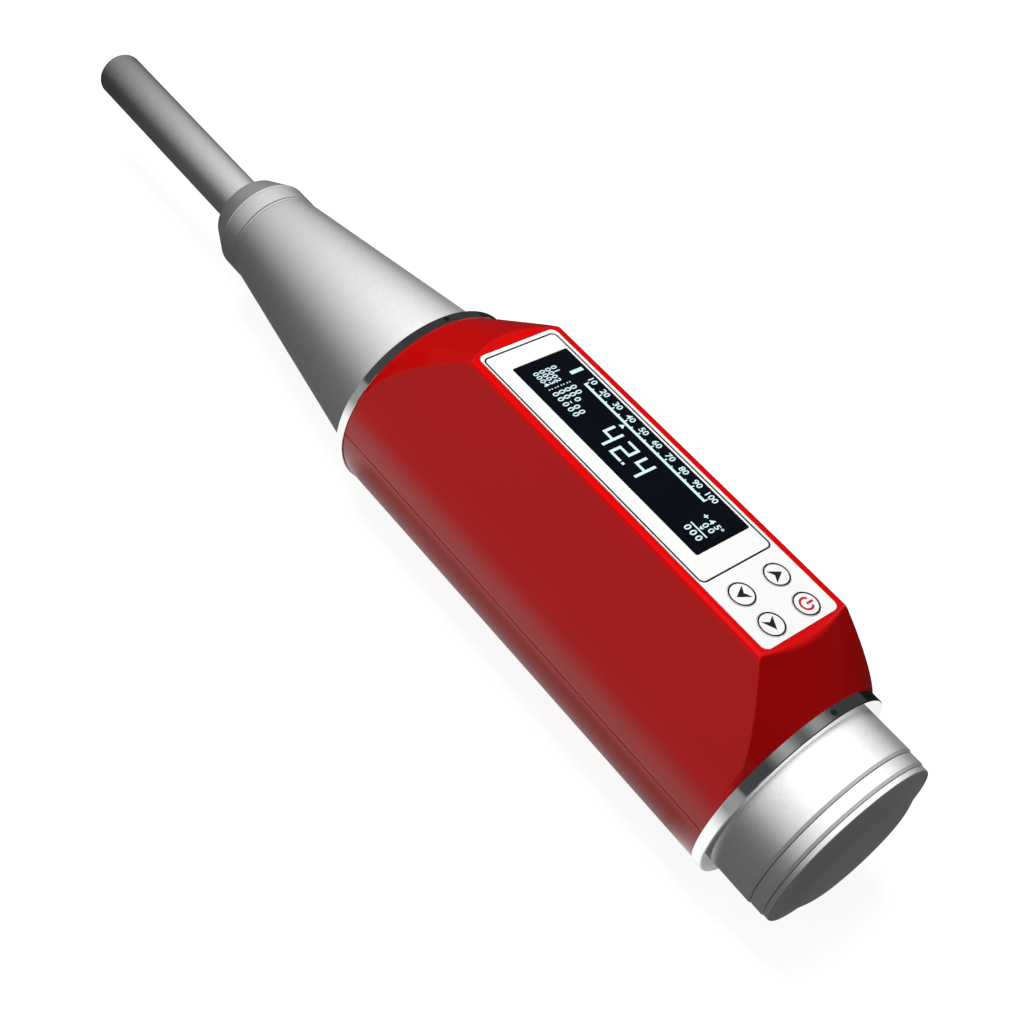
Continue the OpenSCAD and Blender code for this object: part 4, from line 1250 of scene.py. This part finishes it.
# Panel, keys and display
class HAMMER_OT_panel(bpy.types.Operator):
    """Builds the keypad film and its printed outline"""
    bl_idname = "hammer.panel"
    bl_label = "Keypad film"

    def execute(self, context):
        sizes = context.scene.hammer_panel
        low, high = OVERLAY
        outlines = [rectangle(low.x, high.x, low.y, high.y, sizes.corner),
                    rectangle(*window_frame(SLIP), WINDOW_CORNER)]
        outlines += [circle(*key_place(key), KEY_R + sizes.key_gap) for key in KEYS]
        film = plate("panel_film", outlines, low.z, high.z, sizes.film_round)
        piece("panel_film", film, "body", "panel_white", ["keypad_overlay"])
        x0, x1 = low.x + sizes.line_left, high.x - sizes.line_right
        y0, y1 = low.y + sizes.line_rear, high.y - sizes.line_front
        line, corner = sizes.line, 1.8 * MM
        outlines = [rectangle(x0, x1, y0, y1, corner),
                    rectangle(x0 + line, x1 - line, y0 + line, y1 - line, corner - line)]
        outline = plate("panel_outline", outlines, high.z - sizes.ink / 2, high.z + sizes.ink)
        piece("panel_outline", outline, "body", "panel_white", [], [finish("print_black")])
        return {"FINISHED"}


class HAMMER_OT_keys(bpy.types.Operator):
    """Builds the four keys with their printed rings and signs"""
    bl_idname = "hammer.keys"
    bl_label = "Keys"

    def execute(self, context):
        sizes = context.scene.hammer_panel
        for key in KEYS:
            name = key.replace("key_", "")
            x, y = key_place(key)
            low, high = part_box(key)
            top = high.z - 2 * sizes.ink
            stem_r, flange_r, soft = 1.2 * MM, (high.x - low.x) / 2, 0.1 * MM
            flange = low.z + 1.2 * MM
            flange_top = flange + 0.8 * MM
            profile = rounded([
                (0, low.z, 0), (stem_r, low.z, soft), (stem_r, flange, 0), (flange_r, flange, soft),
                (flange_r, flange_top, soft), (KEY_R, flange_top, 0), (KEY_R, top, 1.2 * soft), (0, top, 0)])
            piece("keytop_" + name, upright(turned(key, profile, 96), x, y), key, "key_white", [key])
            self.prints(name, key, x, y, top, sizes)
        return {"FINISHED"}

    def prints(self, name, key, x, y, top, sizes):
        """A key's printed ring and sign, which is crimson on the power key."""
        under, over = top - sizes.ink, top + sizes.ink
        outer = KEY_R - 0.1 * MM
        ring = plate("ring", [circle(x, y, r, 96) for r in (outer, outer - sizes.key_line)], under, over)
        ring_faces = len(ring.polygons)
        signs = [plate("sign", [outline], under, over) for outline in self.sign(name, x, y, sizes.arrow)]
        tints = [finish("print_black")]
        if name == "power":
            tints.append(finish("print_crimson"))
        item = piece("keyprint_" + name, joined("key_print", [ring, *signs]), key, "key_white", [], tints)
        for face in item.data.polygons:
            face.material_index = len(tints) - 1 if face.index >= ring_faces else 0

    def sign(self, name, x, y, size):
        """Outlines of a key's sign: an arrow head or the open ring and bar of a power key."""
        if name == "power":
            ring, stroke, bar, mouth = 0.92 * size, 0.17 * size, 1.22 * size, math.radians(38)
            arc = []
            for radius, way in ((ring + stroke, 1), (ring - stroke, -1)):
                steps = [mouth + (TURN - 2 * mouth) * t for t in shares(40)][::way]
                arc += [(x + radius * math.cos(a), y + radius * math.sin(a)) for a in steps]
            return [arc, [(x, y - stroke), (x + bar, y - stroke), (x + bar, y + stroke), (x, y + stroke)]]
        turn = {"up": 0, "down": math.pi, "next": -QUARTER}[name]
        arrow = [(1.0, 0.0), (-1.0, 1.08), (-0.35, 0.0), (-1.0, -1.08)]
        cos, sin = math.cos(turn), math.sin(turn)
        return [[(x + size * (u * cos - v * sin), y + size * (u * sin + v * cos)) for u, v in arrow]]


SEGMENTS = {"0": "abcdef", "1": "bc", "2": "abged", "3": "abgcd", "4": "fgbc", "5": "afgcd",
            "6": "afgedc", "7": "abc", "8": "abcdefg", "9": "abcdfg"}


# Places on the display in millimetres: x from its middle, y from its front, or from its rear where so named
READING_AT = (-2.05, -30.15)
SCALE_AT = (5.45, -12.95)
CHARGE_BAR = (4.1, 8.4, -8.6, -7.4)
ROWS_AT, ROW_STEP = 1.25, -2.06
LABEL_Y, COLON_Y, VALUE_Y = -3.6, -10.4, -12.35
ROW_VALUES = {"01": "00", "0002": "000", "0003": "00-00", "0004": "00000"}
LEAN_AT_REAR = (1.75, 8.1)
LINE_AT_REAR = (-3.1, 5.9)


def segment_bars(digit, width, height, stroke):
    """Bars (left, right, low, high) of a seven-segment figure, which overlap at its corners."""
    w, h, s = width / 2, height / 2, stroke / 2
    places = {"a": (-w, w, h - stroke, h), "g": (-w, w, -s, s), "d": (-w, w, -h, stroke - h),
              "f": (-w, stroke - w, -s, h), "b": (w - stroke, w, -s, h),
              "e": (-w, stroke - w, -h, s), "c": (w - stroke, w, -h, s)}
    return [places[name] for name in SEGMENTS[digit]]


def tick_tree():
    """A Geometry Nodes tree for the ticks of a scale, with every second one long."""
    grow = Growth("scale ticks", {
        "Start": "vector", "Step": "vector", "Ticks": "count", "Long": "m", "Short": "m", "Width": "m",
        "Thickness": "m", "Material": "material"})
    row = grow.add("GeometryNodeMeshLine", {
        "Count": grow.given("Ticks"), "Start Location": grow.given("Start"), "Offset": grow.given("Step")})
    odd = grow.add("GeometryNodeInputIndex") % 2
    tall = grow.given("Long") + odd * (grow.given("Short") - grow.given("Long"))
    shift = grow.add("ShaderNodeCombineXYZ", {"X": tall * 0.5})
    row = grow.add("GeometryNodeSetPosition", {"Geometry": row, "Offset": shift})
    size = grow.add("ShaderNodeCombineXYZ", {
        "X": tall, "Y": grow.given("Width"), "Z": grow.given("Thickness")})
    bar = grow.add("GeometryNodeMeshCube", {"Size": (1, 1, 1)})
    return grow.close(grow.add("GeometryNodeInstanceOnPoints", {
        "Points": row, "Instance": bar, "Scale": size}))


class LitSheet:
    """The thin sheet of lit figures on the display's glass."""

    def __init__(self, sizes, low, high):
        self.sizes = sizes
        self.low, self.high = low, high
        self.parts = []

    def flat(self, *outlines):
        """A lit shape from its outlines."""
        return plate("lit", outlines, self.low, self.high)

    def bar(self, x0, x1, y0, y1):
        """A lit bar."""
        return self.flat([(x0, y0), (x1, y0), (x1, y1), (x0, y1)])

    def cross(self, x, y, long, thin):
        """Two lit bars across each other."""
        bars = [self.bar(x - a, x + a, y - b, y + b) for a, b in ((long, thin), (thin, long))]
        self.parts.append(carved(bars[0], bars[1:], "UNION"))

    def pointer(self, x, y, long, wide):
        """A triangle with its tip at a place and its foot further along x."""
        self.parts.append(self.flat([(x, y), (x + long, y + wide), (x + long, y - wide)]))

    def figures(self, text, x, y, size=1.0):
        """Small figures one after another, the first with its middle at a place."""
        for k, sign in enumerate(text):
            self.text(sign, x, y - k * self.sizes.small_pitch, size)

    def text(self, text, x, y, size=1.0, side="CENTER", wide=1.0):
        """A small number whose middle or end is at a place."""
        height = size * self.sizes.small
        self.parts.append(number(text, height, x, y, self.low, self.high, side, wide))

    def reading(self, x, place):
        """The large number, in seven-segment figures from the front rearwards."""
        sizes = self.sizes
        wide, tall, stroke = sizes.figure_width, sizes.figure_height, sizes.stroke
        for sign in sizes.reading:
            if sign == ".":
                dot = place + sizes.figure_pitch - wide / 2 - 0.9 * MM
                foot = x - tall / 2
                self.parts.append(self.bar(foot, foot + stroke, dot - stroke / 2, dot + stroke / 2))
                continue
            bars = [self.bar(x + low, x + high, place - right, place - left)
                    for left, right, low, high in segment_bars(sign, wide, tall, stroke)]
            self.parts.append(carved(bars[0], bars[1:], "UNION"))
            place -= sizes.figure_pitch

    def scale(self, x, start, numbers=10):
        """The scale's ticks, line, numbers and pointer."""
        step, line, half = self.sizes.scale_step, self.sizes.scale_line, 0.19 * MM
        ticks = tick_tree().mesh("display_ticks", {
            "Start": (x, start, (self.low + self.high) / 2), "Step": (0, -step / 2, 0),
            "Ticks": 2 * numbers - 1, "Long": 0.85 * MM, "Short": 0.45 * MM, "Width": 2 * half,
            "Thickness": self.high - self.low, "Material": finish("figures")})
        piece("display_ticks", ticks, "body", "display_glass", [], [finish("figures")])
        self.parts.append(self.bar(x - line, x, start - (numbers - 1) * step - half, start + half))
        for k in range(numbers):
            self.text(str(10 + 10 * k), x + 2.05 * MM, start - k * step)
        shown = int(float(self.sizes.reading))
        self.pointer(x - line - 0.1 * MM, start - (shown - 10) / 10 * step, -1.55 * MM, 0.85 * MM)

    def rows(self, middle, front):
        """The charge bar and the rows of small figures near the front."""
        x0, x1, y0, y1 = (place * MM for place in CHARGE_BAR)
        self.parts.append(self.bar(middle + x0, middle + x1, front + y0, front + y1))
        dot, apart, y = 0.19 * MM, 0.45 * MM, front + COLON_Y * MM
        for row, (label, value) in enumerate(ROW_VALUES.items()):
            x = middle + (ROWS_AT + ROW_STEP * row) * MM
            self.text(label, x, front + LABEL_Y * MM, 0.9, "LEFT", 1.15)
            for up in (x - apart, x + apart):
                self.parts.append(self.bar(up - dot, up + dot, y - dot, y + dot))
            self.figures(value, x, front + VALUE_Y * MM)

    def rear_block(self, middle, rear):
        """The tool's lean in degrees and a small number under a line with a mark on it."""
        long, thin, degree, hole = 0.7 * MM, 0.19 * MM, 0.42 * MM, 0.18 * MM
        x, y = middle + LEAN_AT_REAR[0] * MM, rear + LEAN_AT_REAR[1] * MM
        self.cross(x, y, long, thin)
        self.figures("45", x, y - 2.1 * MM)
        self.parts.append(self.flat(*(circle(x + 0.65 * MM, y - 5.35 * MM, r, 24) for r in (degree, hole))))
        self.figures("00", x - 2.3 * MM, y - 2.1 * MM)
        x, y = middle + LINE_AT_REAR[0] * MM, rear + LINE_AT_REAR[1] * MM
        self.parts.append(self.bar(x - 1.2 * thin, x + 1.2 * thin, y - 3 * MM, y + 2.8 * MM))
        self.pointer(x + 0.35 * MM, y, 1 * MM, long)
        self.figures("000", x - 2.05 * MM, y + 1.95 * MM, 1.1)


class HAMMER_OT_display(bpy.types.Operator):
    """Builds the display's glass, its figures and its scale"""
    bl_idname = "hammer.display"
    bl_label = "Display"

    def execute(self, context):
        low, high = WINDOW
        flange_top, glass_top = low.z + 0.9 * MM, high.z - SLIP
        x0, x1, rear, front = window_frame(0)
        flange = rectangle(low.x, high.x, low.y, high.y, 1 * MM)
        pane = rectangle(x0, x1, rear, front, WINDOW_CORNER)
        glass = joined("display_pane", [plate("flange", [flange], low.z, flange_top),
                                        plate("pane", [pane], flange_top - SLIP, glass_top, SLIP)])
        piece("display_pane", glass, "body", "display_glass", ["display_window"])
        middle = (x0 + x1) / 2
        lit = LitSheet(context.scene.hammer_display, glass_top - 0.01 * MM, glass_top + 0.025 * MM)
        lit.reading(middle + READING_AT[0] * MM, front + READING_AT[1] * MM)
        lit.scale(middle + SCALE_AT[0] * MM, front + SCALE_AT[1] * MM)
        lit.rows(middle, front)
        lit.rear_block(middle, rear)
        figures = joined("display_figures", lit.parts)
        piece("display_figures", figures, "body", "display_glass", [], [finish("figures")])
        return {"FINISHED"}


class HAMMER_OT_lock_button(bpy.types.Operator):
    """Builds the lock button with its grip rings"""
    bl_idname = "hammer.lock_button"
    bl_label = "Lock button"

    def execute(self, context):
        pin_r, flange_r, cave_r = 1.9 * MM, 5.2 * MM, 2.9 * MM
        pin_end, soft, deep = 20.8 * MM, 0.15 * MM, 0.22 * MM
        flange_top = SHELL_R - 2.7 * MM
        flange = flange_top - 0.9 * MM
        profile = [(0, pin_end, 0), (pin_r, pin_end, soft), (pin_r, LOCK_CAVE, 0), (cave_r, LOCK_CAVE, 0),
                   (cave_r, flange, 0), (flange_r, flange, soft), (flange_r, flange_top, soft),
                   (LOCK_CAP_R, flange_top, 0), (LOCK_CAP_R, LOCK_TOP, 0.8 * MM)]
        grip = ((0.2, 0, 0.08), (0.12, deep, 0.06), (-0.12, deep, 0.06), (-0.2, 0, 0.08))
        for k in range(3):
            ring = 2.7 - 0.8 * k
            profile += [((ring + out) * MM, LOCK_TOP - drop, size * MM) for out, drop, size in grip]
        profile.append((0, LOCK_TOP, 0))
        mesh = on_lock_axis(upright(turned("lock_cap", rounded(profile), 96)))
        piece("lock_cap", mesh, "lock_button", "button_black", ["lock_button"])
        return {"FINISHED"}


def coil_tree():
    """A Geometry Nodes tree for a wound wire with one closer turn at each end."""
    grow = Growth("wound wire", {
        "Coil radius": "m", "Wire radius": "m", "Turns": "m", "Length": "m", "End step": "m",
        "Points": "count", "Tilt": "vector", "Place": "vector", "Material": "material"})
    line = grow.add("GeometryNodeCurvePrimitiveLine", {"Start": (0, 0, 0), "End": (0, 0, 1)})
    line = grow.add("GeometryNodeResampleCurve", {"Curve": line, "Count": grow.given("Points")})
    turns, wire = grow.given("Turns"), grow.given("Wire radius")
    end_step = grow.given("End step")
    wound = grow.add("GeometryNodeSplineParameter", out="Factor") * turns
    pitch = (grow.given("Length") - wire * 2 - end_step * 2) / (turns - 2)
    inner = (wound - 1).most(0).least(turns - 2)
    last = (wound - turns + 1).within(0, 1)
    height = wire + end_step * (wound.least(1) + last) + pitch * inner
    way = wound * TURN
    coil_r = grow.given("Coil radius")
    place = grow.add("ShaderNodeCombineXYZ", {
        "X": way.cosine() * coil_r, "Y": way.sine() * coil_r, "Z": height})
    line = grow.add("GeometryNodeSetPosition", {"Geometry": line, "Position": place})
    section = grow.add("GeometryNodeCurvePrimitiveCircle", {"Resolution": 14, "Radius": wire})
    tube = grow.add("GeometryNodeCurveToMesh", {
        "Curve": line, "Profile Curve": section, "Fill Caps": True})
    return grow.close(grow.add("GeometryNodeTransform", {
        "Geometry": tube, "Translation": grow.given("Place"), "Rotation": grow.given("Tilt")}))


class HAMMER_OT_springs(bpy.types.Operator):
    """Builds the five wound springs"""
    bl_idname = "hammer.springs"
    bl_label = "Springs"

    def execute(self, context):
        tree = coil_tree()
        rows = [("impact_spring", "body", 12.8, 1.0, 17),
                ("return_spring", "body", 14.7, 0.6, 9),
                ("buffer_spring", "plunger_group", 3.4, 0.5, 8),
                ("pawl_spring", "plunger_group", 1.2, 0.2, 3)]
        made = {}
        for node, body, *wind in rows:
            low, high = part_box(node)
            middle = (low + high) / 2
            made[node] = self.coil(tree, node, body, wind, high.y - low.y,
                                   (-QUARTER, 0, 0), (middle.x, low.y, middle.z))
        start = BARREL_R + SLIP
        long = LOCK_CAVE - SLIP - start
        base = tuple(Vector((0, LOCK_Y, AXIS_Z)) + LOCK_OUT * start)
        button = self.coil(tree, "button_spring", "body", (2.45, 0.25, 5), long,
                           tuple(LOCK_TURN.to_euler()), base)
        self.follow(made["return_spring"], "plunger_slide", span("return_spring"), 0)
        self.follow(made["impact_spring"], "hammer_slide", span("impact_spring"), 1)
        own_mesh(button)
        return {"FINISHED"}

    def coil(self, tree, node, body, wind, long, tilt, place):
        """One spring, wound with a coil radius and a wire radius in millimetres and a number of turns."""
        coil_r, wire_r, turns = wind
        mesh = tree.mesh("wire_" + node, {
            "Coil radius": coil_r * MM, "Wire radius": wire_r * MM, "Turns": float(turns), "Length": long,
            "End step": (2 * wire_r + 0.5) * MM, "Points": 40 * turns + 1, "Tilt": tilt, "Place": place,
            "Material": finish("spring_steel")})
        return piece("wire_" + node, outwards(mesh), body, "spring_steel", [node], crisp=60)

    def follow(self, item, joint, ends, seat):
        """Gives a spring its own copy of its mesh."""
        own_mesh(item)


class HAMMER_OT_inner_finishes(bpy.types.Operator):
    """Gives the CAD pieces inside the tool their finishes"""
    bl_idname = "hammer.inner_finishes"
    bl_label = "Finishes of the inner pieces"

    def execute(self, context):
        for item in frame["nodes"].values():
            if not item.hide_render:
                slot = item.material_slots[0]
                slot.material = finish(slot.material.name.split(".")[0])
        return {"FINISHED"}


# Studio
CAMERA_AT = Vector((-0.247717, -0.225690, 0.340411))
CAMERA_BACK = Vector((-0.55993, -0.41689, 0.71602))
CAMERA_UP = Vector((0.35018, 0.66414, 0.66052))
CAMERA_LENS = 55.264

# Greys that satin metal and mirrors see, from the horizon up
CEILING = ((0.0, 0.42), (0.1, 0.55), (0.3, 0.85), (0.6, 1.35), (0.8, 1.75), (1.0, 2.1))
DARK_ROOM = ((0.0, 0.38), (0.2, 0.3), (0.26, 0.07), (1.0, 0.06))


class HAMMER_OT_stage(bpy.types.Operator):
    """Builds the camera, lamps, floor and backdrop"""
    bl_idname = "hammer.stage"
    bl_label = "Camera and studio"

    def execute(self, context):
        scene = context.scene
        studio = scene.hammer_studio
        scene.view_settings.view_transform = "Standard"
        self.camera(scene)
        self.lamp("key_lamp", (-0.05, 0.17, 0.82), 0.45, 0.45, studio.key)
        self.lamp("side_lamp", (-0.75, 0.05, 0.22), 0.6, 0.4, studio.side)
        self.world(scene, studio)
        self.floor(studio)
        return {"FINISHED"}

    def camera(self, scene):
        """The camera, where the photograph was taken from."""
        data = bpy.data.cameras.new("camera")
        data.sensor_width = 36
        data.lens = CAMERA_LENS
        data.clip_start = 0.01
        eye = placed("camera", data)
        back = CAMERA_BACK.normalized()
        right = CAMERA_UP.cross(back).normalized()
        up = back.cross(right)
        eye.matrix_world = Matrix.Translation(CAMERA_AT) @ Matrix((right, up, back)).transposed().to_4x4()
        scene.camera = eye

    def lamp(self, name, place, wide, deep, power):
        """A soft lamp that looks at the tool's middle."""
        data = bpy.data.lights.new(name, "AREA")
        data.shape = "RECTANGLE"
        data.size = wide
        data.size_y = deep
        data.energy = power
        lamp = placed(name, data)
        lamp.location = place
        lamp.rotation_mode = "QUATERNION"
        lamp.rotation_quaternion = (Vector(place) - Vector((0, 0, AXIS_Z))).to_track_quat("Z", "X")
        lamp.visible_camera = False
        lamp.visible_glossy = False

    def world(self, scene, studio):
        """White where it is seen straight, plain where it lights, and a bright ceiling in satin metal."""
        world = bpy.data.worlds.new("studio")
        scene.world = world
        world.use_nodes = True
        world.cycles.sampling_method = "NONE"
        bench = Bench(world.node_tree)
        world.node_tree.nodes.clear()
        across, along, height = bench.parts(bench.add("ShaderNodeTexCoord", out="Generated"))

        # Satin metal sees a ceiling that fades to the front and the rear
        ceiling = bench.greys(height.within(), CEILING)
        fade = (1.1 - along * 0.2).within(0.3, 1.05) * (along * 2 + 1.6).within(0.25, 1)
        fade = fade * (1 + across * along * 0.5).within(0.5, 1.3)

        # Mirrors see a dark room, with a white card at the right and a streaked light overhead
        dark = bench.greys(height.within(), DARK_ROOM)
        dark = bench.mix(across.ramp(-0.15, -5), grey(0.05), dark)
        card = zone((across, 0.3, 8), (height, 0.75, -6), (along, 0.1, -10), (along, -0.3, 10))
        dark = bench.mix(card, dark, grey(0.8))
        overhead = zone((height, 0.72, 10), (along, 0.36, -12))
        streaks = 1 + overhead * (3.6 - (across * 10).cosine() * 2.0)
        lights = ((grey(1), studio.sky), (ceiling, fade), (dark, streaks), (grey(1), 1.0))
        shaders = [bench.add("ShaderNodeBackground", {"Color": tint, "Strength": strength})
                   for tint, strength in lights]
        bench.add("ShaderNodeOutputWorld", {"Surface": self.by_ray(bench, *shaders)})

    def floor(self, studio):
        """A wide pale floor that keeps the tool's shadow."""
        half, drop = 6.0, -0.2 * MM
        corners = [(-half, -half, drop), (half, -half, drop), (half, half, drop), (-half, half, drop)]
        mesh = as_mesh("floor", corners, [(0, 1, 2, 3)])
        ground = placed("floor", mesh)
        work = Finish("floor")
        across, along, _ = work.parts(work.place)

        # Seen straight, the floor is lifted towards white, and far away it is white
        pale = work.add("ShaderNodeBsdfDiffuse", {"Color": studio.floor})
        lifted = (work.distance(work.place) * 0.3 + (studio.lift - 0.12)).within(studio.lift, 1)

        # Mirrors see a bright pool at the left and one behind the rear ring, and a shade under the housing
        pool = (0.1 / (across * -1).most(0.01)).within(0.36, 1.2)
        left = across.ramp(0, -40) * ((0.1 - across * 0.6 - along) * 12).within()
        left = left * along.ramp(-0.17, 40, 0.3)
        rear = along.ramp(SHELL_Y[0] - 0.004, -200) * along.ramp(-0.2, 30, 0, 0.85)
        rear = rear * across.ramp(0.09, -100) * across.ramp(0.02, 25, 0.4)
        between = zone((along, SHELL_Y[0] + 0.006, 125), (along, 0.012, -125))
        under = across.ramp(-0.056, 50, 0, 0.6) * between
        shine = pool * left.most(rear).most(0.02) * (1 - under)
        lift, dim, white = (work.add("ShaderNodeEmission", {"Color": tint})
                            for tint in (lifted, grey(0.16), shine))
        seen = work.add("ShaderNodeAddShader", {0: pale, 1: lift})
        work.add("ShaderNodeOutputMaterial", {"Surface": self.by_ray(work, pale, dim, white, seen)})
        mesh.materials.append(work.material)

    def by_ray(self, bench, lights, satin, mirror, seen):
        """One shader for light, for rays off satin, for rays off a mirror and for rays that see straight."""
        straight, through, glossy, singular = bench.outputs(
            bench.add("ShaderNodeLightPath"),
            "Is Camera Ray", "Is Transmission Ray", "Is Glossy Ray", "Is Singular Ray")
        mixed = lights
        for factor, shader in ((glossy, satin), (singular * glossy, mirror), (straight.most(through), seen)):
            mixed = bench.add("ShaderNodeMixShader", {0: factor, 1: mixed, 2: shader})
        return mixed


class HAMMER_PT_looks(bpy.types.Panel):
    """Lists the pieces that can be built"""
    bl_label = "Concrete test hammer"
    bl_idname = "HAMMER_PT_looks"
    bl_space_type = "VIEW_3D"
    bl_region_type = "UI"
    bl_category = "Hammer"

    def draw(self, context):
        for operator in OPERATORS:
            self.layout.operator(operator.bl_idname)
        for group in GROUPS:
            box = self.layout.box()
            settings = getattr(context.scene, group)
            for name in settings.bl_rna.properties.keys():
                if name not in ("rna_type", "name"):
                    box.prop(settings, name)


GROUPS = {"hammer_housing": HAMMER_PG_housing, "hammer_metal": HAMMER_PG_metal,
          "hammer_panel": HAMMER_PG_panel, "hammer_display": HAMMER_PG_display,
          "hammer_studio": HAMMER_PG_studio}
OPERATORS = (HAMMER_OT_stage, HAMMER_OT_housing, HAMMER_OT_turned, HAMMER_OT_screws, HAMMER_OT_panel,
             HAMMER_OT_keys, HAMMER_OT_display, HAMMER_OT_lock_button, HAMMER_OT_springs,
             HAMMER_OT_inner_finishes)


def register():
    for name, group in GROUPS.items():
        bpy.utils.register_class(group)
        setattr(bpy.types.Scene, name, bpy.props.PointerProperty(type=group))
    for operator in OPERATORS:
        bpy.utils.register_class(operator)
    bpy.utils.register_class(HAMMER_PT_looks)


def unregister():
    bpy.utils.unregister_class(HAMMER_PT_looks)
    for operator in reversed(OPERATORS):
        bpy.utils.unregister_class(operator)
    for name, group in reversed(GROUPS.items()):
        delattr(bpy.types.Scene, name)
        bpy.utils.unregister_class(group)


def main():
    register()
    bpy.ops.hammer.stage()
    bpy.ops.hammer.housing()
    bpy.ops.hammer.turned()
    bpy.ops.hammer.screws()
    bpy.ops.hammer.panel()
    bpy.ops.hammer.keys()
    bpy.ops.hammer.display()
    bpy.ops.hammer.lock_button()
    bpy.ops.hammer.springs()
    bpy.ops.hammer.inner_finishes()


if __name__ == "__main__":
    main()
